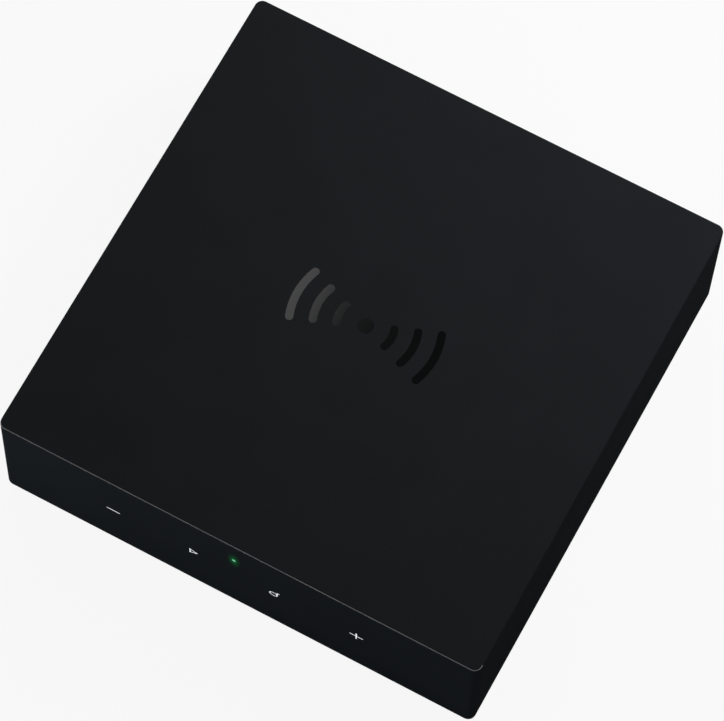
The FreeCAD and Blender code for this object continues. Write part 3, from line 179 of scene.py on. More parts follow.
# %% A material under construction
class Recipe:
    """A material with one Principled shader, and the node graph that feeds it."""

    def __init__(self, name):
        self.material = bpy.data.materials.new(name)
        self.material.use_nodes = True
        self.graph = self.material.node_tree
        self.graph.nodes.clear()
        self.shader = self.graph.nodes.new("ShaderNodeBsdfPrincipled")
        output = self.graph.nodes.new("ShaderNodeOutputMaterial")
        self.graph.links.new(self.shader.outputs[0], output.inputs["Surface"])
        self.place = self.add("ShaderNodeTexCoord", output="Object")

    def add(self, kind, settings=None, inputs=(), output=0):
        """Any node: its settings first, then the values or links of its sockets."""
        node = self.graph.nodes.new(kind)
        for name, setting in (settings or {}).items():
            if name == "stops":
                self.set_stops(node.color_ramp, setting)
            else:
                setattr(node, name, setting)
        pairs = inputs.items() if isinstance(inputs, dict) else enumerate(inputs)
        for name, content in pairs:
            self.feed(node.inputs[name], content)
        return Value(self, node.outputs[output])

    def set_stops(self, ramp, stops):
        while len(ramp.elements) < len(stops):
            ramp.elements.new(1.0)
        for element, (position, level) in zip(ramp.elements, stops):
            element.position = position
            element.color = (level, level, level, 1.0)

    def feed(self, socket, content):
        if isinstance(content, Value):
            self.graph.links.new(content.socket, socket)
        elif isinstance(content, tuple) and len(content) == 3 and socket.type == "RGBA":
            socket.default_value = (*content, 1.0)
        else:
            socket.default_value = content

    def axis(self, name):
        """One of the three Object coordinates, in metres."""
        return self.add("ShaderNodeSeparateXYZ", inputs=[self.place], output="XYZ".index(name))

    def vector(self, operation, first, second=(0.0, 0.0, 0.0), output="Vector"):
        """Sums on places and directions."""
        inputs = {0: first, 1: second if isinstance(second, Value) else tuple(second)}
        return self.add("ShaderNodeVectorMath", {"operation": operation}, inputs, output)

    def noise(self, size, detail, stretch=(1.0, 1.0, 1.0)):
        """Soft random values from 0 to 1, in blots about as wide as size, in metres."""
        scaled = self.add(
            "ShaderNodeMapping",
            inputs={"Vector": self.place, "Scale": tuple(s / size for s in stretch)},
        )
        return self.add("ShaderNodeTexNoise", inputs={"Vector": scaled, "Scale": 1.0, "Detail": detail})

    def chance(self, first, second):
        """A random value from 0 to 1 for each pair of whole numbers."""
        pair = self.add("ShaderNodeCombineXYZ", inputs=[first, second])
        return self.add("ShaderNodeTexWhiteNoise", {"noise_dimensions": "2D"}, {"Vector": pair})

    def ramp(self, value, *stops):
        """A number for each stretch of a value, from pairs of a position and a level."""
        return self.add("ShaderNodeValToRGB", {"stops": stops}, {"Fac": value}, "Color")

    def blend(self, mask, first, second):
        """The first colour where the mask is 0, the second where it is 1."""
        inputs = {0: mask, 6: first, 7: second}
        return self.add("ShaderNodeMix", {"data_type": "RGBA"}, inputs, 2)

    def bump(self, height, depth):
        """A dent or rise of the surface, depth metres for a height of 1."""
        return self.add("ShaderNodeBump", inputs={"Height": height, "Distance": depth, "Strength": 1.0})

    def finish(self, **inputs):
        """Feeds the shader, and gives the finished material."""
        for name, content in inputs.items():
            self.feed(self.shader.inputs[name.replace("_", " ")], content)
        return self.material


print("a Recipe has:", [name for name in vars(Recipe) if name[0] != "_"])

# %% [markdown]
# ## Finishes
#
# Moulded plastic takes the grain of its steel mould: fine pits, a slightly uneven gloss, and a
# colour that drifts a little. Each plastic could be wired on its own, but the same kind is on many
# pieces of the player. So one function makes them all, from a table of the numbers that change.


# %% Moulded plastic
CLOUD_SIZE = 14 * MM
CLOUD_ROUGHNESS = 0.12
PIT_ROUGHNESS = 0.06


def shade(colour, factor):
    return tuple(channel * factor for channel in colour)


def moulded(name, colour, roughness, grain=0.25 * MM, depth=0.004 * MM, gloss=0.5, drift=0.12):
    """Fine pits and wide clouds move the roughness, and the clouds the colour, by a little."""
    recipe = Recipe(name)
    pits = recipe.noise(grain, 3.0)
    clouds = recipe.noise(CLOUD_SIZE, 2.0)
    tone = recipe.blend(clouds, shade(colour, 1 - drift), shade(colour, 1 + drift))
    return recipe.finish(
        Base_Color=tone,
        Roughness=roughness + (clouds - 0.5) * CLOUD_ROUGHNESS + (pits - 0.5) * PIT_ROUGHNESS,
        Normal=recipe.bump(pits, depth),
        Specular_IOR_Level=gloss,
    )


MOULDED = {
    "panel_plastic": {"colour": (0.012, 0.0125, 0.0135), "roughness": 0.62, "gloss": 0.3},
    "cover_plastic": {"colour": (0.011, 0.0115, 0.0125), "roughness": 0.6, "gloss": 0.3},
    "jack_black": {"colour": (0.013, 0.013, 0.014), "roughness": 0.42, "grain": 0.15 * MM},
    "chip_black": {"colour": (0.016, 0.016, 0.017), "roughness": 0.55, "grain": 0.1 * MM},
    "shutter_black": {"colour": (0.02, 0.02, 0.021), "roughness": 0.3},
    "insert_white": {"colour": (0.74, 0.735, 0.7), "roughness": 0.34, "drift": 0.03},
    "insert_red": {"colour": (0.52, 0.012, 0.014), "roughness": 0.34, "drift": 0.05},
    "insert_orange": {"colour": (0.74, 0.19, 0.012), "roughness": 0.34, "drift": 0.05},
    "socket_ivory": {"colour": (0.6, 0.56, 0.45), "roughness": 0.45, "drift": 0.04},
    "relay_case": {"colour": (0.62, 0.62, 0.59), "roughness": 0.4, "drift": 0.04},
    "opto_red": {"colour": (0.35, 0.02, 0.02), "roughness": 0.16, "drift": 0.05},
    "opto_dark": {"colour": (0.03, 0.012, 0.016), "roughness": 0.16, "drift": 0.05},
    "led_body": {"colour": (0.5, 0.62, 0.5), "roughness": 0.2, "drift": 0.04},
    "lead_grey": {"colour": (0.07, 0.07, 0.075), "roughness": 0.4, "drift": 0.05},
    "ferrite": {
        "colour": (0.045, 0.044, 0.043),
        "roughness": 0.7,
        "grain": 0.12 * MM,
        "depth": 0.01 * MM,
    },
    "window_green": {"colour": (0.05, 0.3, 0.08), "roughness": 0.2, "drift": 0.05},
    "window_amber": {"colour": (0.55, 0.26, 0.03), "roughness": 0.2, "drift": 0.05},
    "panel_ink": {
        "colour": (0.5, 0.5, 0.49),
        "roughness": 0.5,
        "grain": 0.1 * MM,
        "drift": 0.05,
    },
}
finishes = {name: moulded(name, **numbers) for name, numbers in MOULDED.items()}
print("moulded finishes:", len(finishes))

# %% [markdown]
# ## The case
#
# The case is a soft, finely mottled black with no sheen, even at a low angle, so its specular level
# is zero. It shows two more things. The small lamp's light spreads a little way into the plastic
# round it, so the glow is painted by the distance from the lamp, in the object's own coordinates,
# and stays in place from every side. And the fine rounded edge between the top and the front is
# burnished: it gets a clear coat there, and mirrors a thin line. A thin separate strip would do
# that too, but it would need a gap or a step that the real case hasn't.

# %% The case's soft plastic, the lamp's glow and the burnished edge
CASE_FRONT = CAD_BOX[0][1]
CASE_TOP = CAD_BOX[1][2]
LAMP = Vector((-0.5 * MM, CASE_FRONT, 31.9 * MM))
BLACK = (0.0099, 0.0111, 0.0123)
CASE_PITS = 0.35 * MM
CASE_PIT_DEPTH = 0.006 * MM
CASE_CLOUDS = 22 * MM
PIT_SHARE = 0.8
EDGE_BAND = (0.05 * MM, 0.18 * MM)
CORNER_REACH = 2.6 * MM
GLOW_REACH = Vector((2.1, 2.1, 5.0)) * MM
GLOW_FADE = (0.0, 0.9), (0.2, 0.5), (0.45, 0.2), (0.75, 0.05), (1.0, 0.0)


def case_plastic():
    recipe = Recipe("case_plastic")
    pits = recipe.noise(CASE_PITS, 3.0)
    clouds = recipe.noise(CASE_CLOUDS, 2.0)
    mottle = clouds * (1 - PIT_SHARE) + pits * PIT_SHARE
    tone = recipe.blend(mottle, shade(BLACK, 0.5), shade(BLACK, 1.5))
    from_top = CASE_TOP - recipe.axis("Z")
    on_edge = (from_top > EDGE_BAND[0]) * (from_top < EDGE_BAND[1])
    in_front = recipe.axis("Y") < CASE_FRONT + CORNER_REACH
    burnished = on_edge * in_front
    apart = recipe.vector("SUBTRACT", recipe.place, LAMP)
    away = recipe.vector("LENGTH", recipe.vector("DIVIDE", apart, GLOW_REACH), output="Value")
    near = recipe.ramp(away, *GLOW_FADE)
    glow = recipe.blend(near, (0.0, 0.0, 0.0), (0.0, 0.42, 0.08))
    # The case's own colour is tinted green round the lamp as well: more painted light from the lamp.
    tone = recipe.blend(near * 0.9, tone, (0.002, 0.011, 0.005))
    return recipe.finish(
        Base_Color=tone,
        Roughness=0.46 + (clouds - 0.5) * 0.05 + (pits - 0.5) * 0.04,
        Normal=recipe.bump(pits, CASE_PIT_DEPTH),
        Specular_IOR_Level=0.0,
        Coat_Weight=burnished,
        Coat_IOR=6.5,
        Coat_Roughness=0.3,
        Emission_Color=glow,
        Emission_Strength=0.4,
    )


finishes["case_plastic"] = case_plastic()
print("burnished band:", round((EDGE_BAND[1] - EDGE_BAND[0]) / MM, 2), "mm high")

# %% [markdown]
# ## Gloss, print and light
#
# The device on the top is polished, so it mirrors the studio where the case round it doesn't. The
# touch marks are a flat, nearly white print, and they also give off a little light in their own tone:
# a painted glow, as the print is no lamp. The lamp is a clear pipe that carries the light of a
# green diode. Glass would need many light paths for a spot two pixels wide, so the pipe is a green
# surface that gives off light, and fades with the distance from its front end.


# %% The polished device, the print and the lamp
HAZE_SIZE = 6 * MM
WAVE_SIZE = 9 * MM
WAVE_DEPTH = 0.002 * MM
PRINT_GRAIN = 0.3 * MM
LIT_REACH = 3 * MM


def polished_device():
    recipe = Recipe("emblem_gloss")
    haze = recipe.noise(HAZE_SIZE, 2.0)
    return recipe.finish(
        Base_Color=recipe.blend(haze, (0.0001, 0.0003, 0.0003), (0.0003, 0.0006, 0.0006)),
        Roughness=0.08 + haze * 0.02,
        Normal=recipe.bump(recipe.noise(WAVE_SIZE, 1.0), WAVE_DEPTH),
        Specular_IOR_Level=0.24,
    )


def print_with_painted_glow():
    recipe = Recipe("mark_print")
    ink = recipe.noise(PRINT_GRAIN, 2.0)
    tone = recipe.blend(ink, (0.74, 0.73, 0.7), (0.86, 0.85, 0.83))
    # The print's tone is also given off as light: a painted glow, since the print is no lamp.
    return recipe.finish(
        Base_Color=tone, Roughness=0.5 + ink * 0.1, Emission_Color=tone, Emission_Strength=0.33
    )


def lit_pipe():
    recipe = Recipe("light_clear")
    inward = (recipe.axis("Y") - CASE_FRONT) / LIT_REACH
    lit = recipe.ramp(inward, (0.0, 1.0), (1.0, 0.35))
    tone = recipe.blend(lit, (0.02, 0.3, 0.1), (0.06, 0.8, 0.3))
    return recipe.finish(
        Base_Color=(0.1, 0.55, 0.25), Roughness=0.25, Emission_Color=tone, Emission_Strength=0.13
    )


finishes["emblem_gloss"] = polished_device()
finishes["mark_print"] = print_with_painted_glow()
finishes["light_clear"] = lit_pipe()
print("finishes so far:", len(finishes))

# %% [markdown]
# ## Metals
#
# Plated, drawn and rolled metal differ mostly in how their fine scratches run. Anisotropic shading
# could stretch their highlights, but it follows a mesh's own tangents, which a CAD mesh hasn't. So
# here the noise of the scratches is stretched along the way the metal was worked. Screws are
# turned, so theirs is short and even, and on the sockets' barrels it lies in rings.

# %% Metals
SCRATCH_SIZE = 0.3 * MM
SCRATCH_DEPTH = 0.002 * MM
SCRATCH_ROUGHNESS = 0.14
STAIN_SIZE = 7 * MM
STAIN_ROUGHNESS = 0.1
EVEN = (1.0, 1.0, 1.0)


def metal(name, colour, roughness, stretch):
    recipe = Recipe(name)
    scratches = recipe.noise(SCRATCH_SIZE, 3.0, stretch)
    stains = recipe.noise(STAIN_SIZE, 3.0)
    tone = recipe.blend(stains, shade(colour, 0.86), shade(colour, 1.05))
    return recipe.finish(
        Base_Color=tone,
        Metallic=1.0,
        Roughness=roughness
        + (scratches - 0.5) * SCRATCH_ROUGHNESS
        + (stains - 0.5) * STAIN_ROUGHNESS,
        Normal=recipe.bump(scratches, SCRATCH_DEPTH),
    )


# Colour, roughness, and the scratches' scale along X, Y and Z: below 1, they run long that way,
# and above 1, they are narrow that way.
METALS = {
    "barrel_nickel": ((0.72, 0.7, 0.64), 0.2, (1.0, 6.0, 1.0)),
    "gold_plate": ((0.83, 0.61, 0.24), 0.24, EVEN),
    "tin_plate": ((0.6, 0.6, 0.59), 0.32, (1.0, 0.1, 1.0)),
    "bright_screw": ((0.58, 0.575, 0.56), 0.28, EVEN),
    "dark_screw": ((0.07, 0.07, 0.075), 0.36, EVEN),
    "ballast_steel": ((0.5, 0.5, 0.5), 0.38, (0.06, 1.0, 1.0)),
    "copper_foil": ((0.78, 0.38, 0.22), 0.34, EVEN),
    "spring_steel": ((0.5, 0.5, 0.49), 0.26, EVEN),
    "anodised": ((0.035, 0.035, 0.038), 0.42, (1.0, 0.08, 1.0)),
}
for name, (colour, roughness, stretch) in METALS.items():
    finishes[name] = metal(name, colour, roughness, stretch)
print("finishes so far:", len(finishes))

# %% [markdown]
# ## The capacitors' cans
#
# The tall capacitors are drawn aluminium cans on a plastic foot, with a dark printed segment on top.
# Foot and can could be two pieces. The CAD has them as one, so the material tells them apart by
# height, and finds the segment by its distance from the side of each can.

# %% Aluminium cans
CAN_FOOT_WIDTH = 6.8 * MM
CAN_FOOT_HEIGHT = 0.62 * MM
CAN_TOP_SKIN = 0.05 * MM
CAN_MARK = 1.95 * MM
DRAWN_UPWARDS = (1.0, 1.0, 0.1)


def aluminium_can():
    """A drawn can on a black foot, with a printed dark segment on its top."""
    recipe = Recipe("can_sleeve")
    low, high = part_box("filter_capacitors")
    scratches = recipe.noise(SCRATCH_SIZE, 3.0, DRAWN_UPWARDS)
    foot = recipe.axis("Z") < low[2] + CAN_FOOT_HEIGHT
    top = recipe.axis("Z") > high[2] - CAN_TOP_SKIN
    pitch = high[0] - low[0] - CAN_FOOT_WIDTH
    segment = ((recipe.axis("X") - low[0]) / pitch).fraction() < CAN_MARK / pitch
    dark = foot.most(top * segment)
    bright = recipe.blend(scratches, (0.52, 0.525, 0.54), (0.6, 0.605, 0.62))
    return recipe.finish(
        Base_Color=recipe.blend(dark, bright, (0.015, 0.015, 0.016)),
        Metallic=1 - dark,
        Roughness=0.3 + (scratches - 0.5) * 0.12 + dark * 0.2,
        Normal=recipe.bump(scratches, SCRATCH_DEPTH),
    )


finishes["can_sleeve"] = aluminium_can()
print("nodes in the cans' finish:", len(finishes["can_sleeve"].node_tree.nodes))

# %% [markdown]
# ## Rubber
#
# The foot is a soft rubber, and a grey pad carries the module's heat to its sink. Both are dull,
# pitted and a little dusty. One plain dark colour would look like a hole, so the dust, as wide soft
# blots, moves both the tone and the roughness.

# %% Rubber
RUBBER_PITS = 0.5 * MM
RUBBER_PIT_DEPTH = 0.02 * MM
DUST_SIZE = 9 * MM


def rubber(name, colour, roughness):
    recipe = Recipe(name)
    pits = recipe.noise(RUBBER_PITS, 4.0)
    dust = recipe.noise(DUST_SIZE, 3.0)
    tone = recipe.blend(dust, shade(colour, 0.8), shade(colour, 1.35))
    height = recipe.bump(pits, RUBBER_PIT_DEPTH)
    rough = roughness + (dust - 0.5) * 0.12
    return recipe.finish(Base_Color=tone, Roughness=rough, Normal=height, Specular_IOR_Level=0.3)


finishes["foot_rubber"] = rubber("foot_rubber", (0.02, 0.02, 0.021), 0.8)
finishes["pad_grey"] = rubber("pad_grey", (0.22, 0.24, 0.3), 0.7)
print("finishes so far:", len(finishes))

# %% [markdown]
# ## Circuit boards
#
# A circuit board is a glass cloth under a coloured lacquer: the copper tracks below it show as
# slightly paler, raised lines, and small plated holes pass between its layers. A brick texture
# would give a net of lines, but it looks like a wall. Tracks run side by side in bundles, so here
# each lane of the board has stretches with and without copper, and broad blots decide which way
# the lanes run.

# %% Tracks and plated holes
LANE = 0.62 * MM
TRACK_SHARE = 0.34
STRETCH = 9 * MM
BARE_SHARE = 0.42
LANE_SHIFT = 5.0
HOLE_STEP = 2.1 * MM
NO_HOLE_SHARE = 0.8
RING_RADIUS = 0.32 * MM
HOLE_RADIUS = 0.14 * MM


def tracks(recipe, along, across, seed):
    """Lines side by side: 1 on copper. Each lane is laid in stretches, and some are left bare."""
    lane = across / LANE
    stretch = along / STRETCH + recipe.chance(lane.floor(), seed) * LANE_SHIFT
    laid = recipe.chance(lane.floor(), stretch.floor() + seed) > BARE_SHARE
    return laid * (abs(lane.fraction() - 0.5) < TRACK_SHARE / 2)


def plated_holes(recipe, first, second):
    """Masks of the rings and of their holes, here and there on a square net."""
    column, row = first / HOLE_STEP, second / HOLE_STEP
    across, up = column.fraction() - 0.5, row.fraction() - 0.5
    apart = (across * across + up * up) ** 0.5 * HOLE_STEP
    there = recipe.chance(column.floor(), row.floor()) > NO_HOLE_SHARE
    return there * (apart < RING_RADIUS), there * (apart < HOLE_RADIUS)


print("tracks:", round(LANE * TRACK_SHARE / MM, 2), "mm wide, one each", LANE / MM, "mm")

# %% Lacquered boards
BUNDLE_SIZE = 16 * MM
CLOTH_SIZE = 0.6 * MM
TRACK_HEIGHT = 0.03 * MM


def lacquered_board(name, colour, upright=False):
    """A board that lies along X, or that stands along Y when upright."""
    recipe = Recipe(name)
    first = recipe.axis("Y") if upright else recipe.axis("X")
    second = recipe.axis("Z") if upright else recipe.axis("Y") + recipe.axis("Z")
    turned = recipe.noise(BUNDLE_SIZE, 0.0) > 0.5
    one_way = tracks(recipe, first, second, seed=3.0)
    other_way = tracks(recipe, second, first, seed=8.0)
    copper = one_way * turned + other_way * (1 - turned)
    ring, hole = plated_holes(recipe, first, second)
    cloth = recipe.noise(CLOTH_SIZE, 2.0)
    lacquer = recipe.blend(cloth, shade(colour, 0.85), shade(colour, 1.1))
    tone = recipe.blend(copper, lacquer, shade(colour, 1.7))
    tone = recipe.blend(ring, tone, (0.7, 0.6, 0.36))
    # The holes are painted nearly black: painted shade for the hollow that the flat board doesn't have.
    return recipe.finish(
        Base_Color=recipe.blend(hole, tone, (0.005, 0.005, 0.005)),
        Metallic=ring - hole,
        Roughness=0.33 + cloth * 0.12,
        Normal=recipe.bump(copper.most(ring) - hole, TRACK_HEIGHT),
    )


finishes["board_green"] = lacquered_board("board_green", (0.006, 0.07, 0.03))
finishes["aerial_board"] = lacquered_board("aerial_board", (0.014, 0.014, 0.018), upright=True)
print("nodes in the green board:", len(finishes["board_green"].node_tree.nodes))

# %% [markdown]
# ## The ribbon and the small capacitors
#
# The ribbon is a white film over flat copper strands, and each small capacitor is a tan ceramic
# block with tinned ends. Strands and ends repeat at an even step across the player, so a fraction
# of the place divided by that step finds them all, where loose pieces would need dozens of meshes.

# %% Ribbon film and ceramic
STRAND_STEP = 1 * MM
STRAND_SHARE = 0.56
STRAND_HEIGHT = 0.02 * MM
CERAMIC_STEP = 4.2 * MM
CERAMIC_START = -34 * MM
CERAMIC_BODY_SHARE = 0.31
CERAMIC_GRAIN = 0.3 * MM


def ribbon_film():
    recipe = Recipe("ribbon_white")
    strand = abs((recipe.axis("X") / STRAND_STEP).fraction() - 0.5) < STRAND_SHARE / 2
    tone = recipe.blend(strand, (0.62, 0.62, 0.6), (0.72, 0.66, 0.55))
    return recipe.finish(
        Base_Color=tone,
        Roughness=0.36 + strand * 0.1,
        Normal=recipe.bump(strand, STRAND_HEIGHT),
    )


def ceramic():
    """Each small block is tan, with tinned ends along X."""
    recipe = Recipe("ceramic_tan")
    step = ((recipe.axis("X") - CERAMIC_START) / CERAMIC_STEP + 0.5).fraction()
    end = abs(step - 0.5) > CERAMIC_BODY_SHARE / 2
    grain = recipe.noise(CERAMIC_GRAIN, 2.0)
    body = recipe.blend(grain, (0.34, 0.21, 0.11), (0.44, 0.29, 0.16))
    return recipe.finish(
        Base_Color=recipe.blend(end, body, (0.6, 0.6, 0.6)),
        Metallic=end,
        Roughness=0.4 + grain * 0.1,
    )


finishes["ribbon_white"] = ribbon_film()
finishes["ceramic_tan"] = ceramic()
print("finishes so far:", len(finishes))

# %% [markdown]
# ## Dressing the CAD model
#
# The packed record names a finish for each piece of the CAD. Materials could be chosen piece by
# piece, but then a new piece would be easy to miss, so the loop follows the record.

# %% Give each CAD node its finish
for entry in frame["record"]["subparts"]:
    dressed = nodes[entry["node"]]
    dressed.data.materials.clear()
    dressed.data.materials.append(finishes[entry["material_slot"]])

# %% [markdown]
# ## New pieces
#
# Small things that the CAD leaves out are modelled here in bmesh, at their real place. Each could
# be an object of its own with a location, but then a pattern on its coordinates would start
# elsewhere. So the place is in the mesh, and the object stays at the origin, as the CAD's do.


# %% A piece from a finished bmesh
def add_piece(name, mesh, finish):
    """Links the mesh as a piece that rides on the case."""
    bmesh.ops.recalc_face_normals(mesh, faces=mesh.faces)
    data = bpy.data.meshes.new(name)
    mesh.to_mesh(data)
    mesh.free()
    data.materials.append(finishes[finish])
    piece = bpy.data.objects.new(name, data)
    bpy.context.scene.collection.objects.link(piece)
    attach(piece, "player")
    return piece


ROUNDING = {"profile": 0.5, "affect": "EDGES", "material": -1}
print("each bevel has:", ROUNDING)

# %% [markdown]
# ## Screws in the rear panel
#
# The rear panel is held to the stacked sockets by two small screws with a cross recess. A Boolean
# could cut the cross, but on so small a head it leaves ragged faces. Here a few planes split the
# flat top, and the faces inside the cross are pushed down, which keeps every face clean.

# %% Panel screws
HEAD_RADIUS = 1.35 * MM
HEAD_HEIGHT = 0.8 * MM
HEAD_ROUND = 0.32 * MM
CROSS_HALF = 0.19 * MM
CROSS_REACH = 0.8 * MM
CROSS_DEPTH = 0.45 * MM
CROSS_TAPER = 0.62
CROSS_TURN = math.radians(20)
TINY = 0.001 * MM
PANEL_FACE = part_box("rear_panel")[1][1]


def flat_top(head):
    return [face for face in head.faces if face.calc_center_median().z > HEAD_HEIGHT - TINY]


def with_outline(faces):
    """The faces with their edges and corners, each once and in a fixed order."""
    edges = dict.fromkeys(edge for face in faces for edge in face.edges)
    corners = dict.fromkeys(corner for face in faces for corner in face.verts)
    return [*faces, *edges, *corners]


def cross_head(middle):
    """A rounded screw head on the panel's face, turned to look backwards."""
    head = bmesh.new()
    sizes = {"radius1": HEAD_RADIUS, "radius2": HEAD_RADIUS, "depth": HEAD_HEIGHT}
    upright = Matrix.Translation((0, 0, HEAD_HEIGHT / 2))
    bmesh.ops.create_cone(head, cap_ends=True, segments=40, matrix=upright, **sizes)
    rim = flat_top(head)[0].edges[:]
    bmesh.ops.bevel(head, geom=rim, offset=HEAD_ROUND, segments=5, **ROUNDING)
    for across in (Vector((1, 0, 0)), Vector((0, 1, 0))):
        for reach in (-CROSS_REACH, -CROSS_HALF, CROSS_HALF, CROSS_REACH):
            cut = with_outline(flat_top(head))
            bmesh.ops.bisect_plane(head, geom=cut, plane_co=across * reach, plane_no=across)
    cross = []
    for face in flat_top(head):
        near, far = sorted(abs(c) for c in face.calc_center_median().xy)
        if near < CROSS_HALF and far < CROSS_REACH:
            cross.append(face)
    pushed = bmesh.ops.extrude_face_region(head, geom=with_outline(cross))["geom"]
    deep = [part for part in pushed if isinstance(part, bmesh.types.BMVert)]
    bmesh.ops.translate(head, verts=deep, vec=(0, 0, -CROSS_DEPTH))
    bmesh.ops.scale(head, verts=deep, vec=(CROSS_TAPER, CROSS_TAPER, 1.0))
    facing = Matrix.Rotation(-math.pi / 2, 4, "X") @ Matrix.Rotation(CROSS_TURN, 4, "Z")
    bmesh.ops.transform(head, matrix=Matrix.Translation(middle) @ facing, verts=head.verts)
    return head


for kind in ("line_in", "line_out"):
    low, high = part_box(kind + "_body")
    white, red = (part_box(f"{kind}_{colour}_insert") for colour in ("white", "red"))
    between = sum(corner[2] for box in (white, red) for corner in box) / 4
    head = cross_head(((low[0] + high[0]) / 2, PANEL_FACE, between))
    screw = add_piece(f"panel_screw_{kind}", head, "bright_screw")
    print(screw.name, "faces:", len(screw.data.polygons), "height:", round(between / MM, 2), "mm")

# %% [markdown]
# ## Lamps of the network socket
#
# Two small windows over the mouth of the network socket light up when it is linked. They are thin
# plates of tinted plastic. A plain box would show hard corners, so one bevel rounds the plate's
# outline, along the four edges that run through its depth, and a finer one rounds its outer rim.

# %% Two tinted windows
WINDOW_WIDTH = 2.4 * MM
WINDOW_HEIGHT = 1.1 * MM
WINDOW_DEPTH = 0.12 * MM
WINDOW_SPREAD = 4.3 * MM
WINDOW_DROP = 1.2 * MM
WINDOW_CORNER = 0.3 * MM
WINDOW_RIM = 0.05 * MM


def tinted_window(middle):
    window = bmesh.new()
    scale = Matrix.Diagonal((WINDOW_WIDTH, WINDOW_DEPTH, WINDOW_HEIGHT, 1.0))
    bmesh.ops.create_cube(window, size=1.0, matrix=Matrix.Translation(middle) @ scale)
    deep = [e for e in window.edges if abs(e.verts[0].co.y - e.verts[1].co.y) > WINDOW_DEPTH / 2]
    bmesh.ops.bevel(window, geom=deep, offset=WINDOW_CORNER, segments=5, **ROUNDING)
    face = max(window.faces, key=lambda side: side.calc_center_median().y)
    bmesh.ops.bevel(window, geom=face.edges[:], offset=WINDOW_RIM, segments=2, **ROUNDING)
    return window


low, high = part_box("ethernet_shield")
for tint, side in (("green", -1), ("amber", 1)):
    across = (low[0] + high[0]) / 2 + side * WINDOW_SPREAD
    middle = (across, high[1] + WINDOW_DEPTH / 2, high[2] - WINDOW_DROP)
    window = add_piece(f"socket_lamp_{tint}", tinted_window(middle), f"window_{tint}")
    print(window.name, "faces:", len(window.data.polygons))

# %% [markdown]
# ## Legs of the chips
#
# Each chip stands on two or four rows of thin tinned legs that step down to the board. The CAD
# leaves them out, because as solids they would weigh next to nothing and number over a hundred. One
# leg is a bent strip: its side outline is a face of eight corners, which is extruded across its
# width. Array modifiers could repeat it, but a plain loop can also turn the rows to all four sides.

# %% Rows of bent legs
LEG_THICKNESS = 0.12 * MM
LEG_REACH = 0.9 * MM
LEG_SHARE = 0.44
HIGHEST_LEG = 1.2 * MM
AMPLIFIER_WIDTH = 4 * MM


def bent_leg(mesh, place, width, rise):
    """A leg that leaves the body at the height rise and ends flat on the board."""
    # Its upper side goes out, down and out again, and its lower side comes back.
    side = [
        (0, rise),
        (LEG_REACH * 0.35, rise),
        (LEG_REACH * 0.6, LEG_THICKNESS),
        (LEG_REACH, LEG_THICKNESS),
        (LEG_REACH, 0),
        (LEG_REACH * 0.52, 0),
        (LEG_REACH * 0.27, rise - LEG_THICKNESS),
        (0, rise - LEG_THICKNESS),
    ]
    outline = mesh.faces.new([mesh.verts.new((-width / 2, out, up)) for out, up in side])
    far = bmesh.ops.extrude_face_region(mesh, geom=[outline])["geom"]
    far = [part for part in far if isinstance(part, bmesh.types.BMVert)]
    bmesh.ops.translate(mesh, verts=far, vec=(width, 0, 0))
    bmesh.ops.transform(mesh, matrix=place, verts=[*outline.verts, *far])


def leg_rows(mesh, low, high, sides, count, pitch, upright=False):
    """Legs round a chip's box. The sides are quarter turns, from the one that faces back."""
    middle = (Vector(low) + Vector(high)) / 2
    half = (Vector(high) - Vector(low)) / 2
    if upright:
        board = Matrix.Translation((middle.x, low[1], middle.z)) @ Matrix.Rotation(-math.pi / 2, 4, "X")
        rise, reaches = half.y, (half.z, half.x)
    else:
        board = Matrix.Translation((middle.x, middle.y, low[2]))
        rise, reaches = min(half.z, HIGHEST_LEG), (half.y, half.x)
    for side in sides:
        turn = Matrix.Rotation(side * math.pi / 2, 4, "Z")
        for number in range(count):
            along = (number - (count - 1) / 2) * pitch
            start = Matrix.Translation((along, reaches[side % 2], 0))
            bent_leg(mesh, board @ turn @ start, pitch * LEG_SHARE, rise)


legs = bmesh.new()
leg_rows(legs, *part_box("dac_chip"), sides=(0, 1, 2, 3), count=12, pitch=0.5 * MM)
low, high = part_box("audio_amplifiers")
for start in (low[0], (low[0] + high[0] - AMPLIFIER_WIDTH) / 2, high[0] - AMPLIFIER_WIDTH):
    ends = (start, *low[1:]), (start + AMPLIFIER_WIDTH, *high[1:])
    leg_rows(legs, *ends, sides=(1, 3), count=4, pitch=1.1 * MM)
leg_rows(legs, *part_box("ethernet_transformer"), sides=(0, 2), count=8, pitch=1.27 * MM)
leg_rows(legs, *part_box("touch_chip"), sides=(0, 1, 2, 3), count=8, pitch=0.5 * MM, upright=True)
rows = add_piece("chip_legs", legs, "tin_plate")
print(rows.name, "faces:", len(rows.data.polygons))

# %% [markdown]
# ## Printed marks on the rear panel
#
# A pale print on the panel shows what each socket does: a line over or beside it, with an arrow
# that points in or out, or a small mark for the network and for power. An image texture is the
# usual way. Real ink is a thin raised film, and film made of thin solid bars stays sharp at any
# distance and needs no image, so the print is built that way.

# %% Bars and arrows of ink
INK_DEPTH = 0.03 * MM
INK_LINE = 0.24 * MM
INK_GAP = 1.3 * MM
ARROW_RADIUS = 0.85 * MM
ROW_HEIGHT = 25.2 * MM
panel_ink = bmesh.new()


def ink_place(x, z):
    return Matrix.Translation((x, PANEL_FACE + INK_DEPTH / 2, z))


def ink_bar(x, z, width, height):
    scale = Matrix.Diagonal((width, INK_DEPTH, height, 1.0))
    bmesh.ops.create_cube(panel_ink, size=1.0, matrix=ink_place(x, z) @ scale)


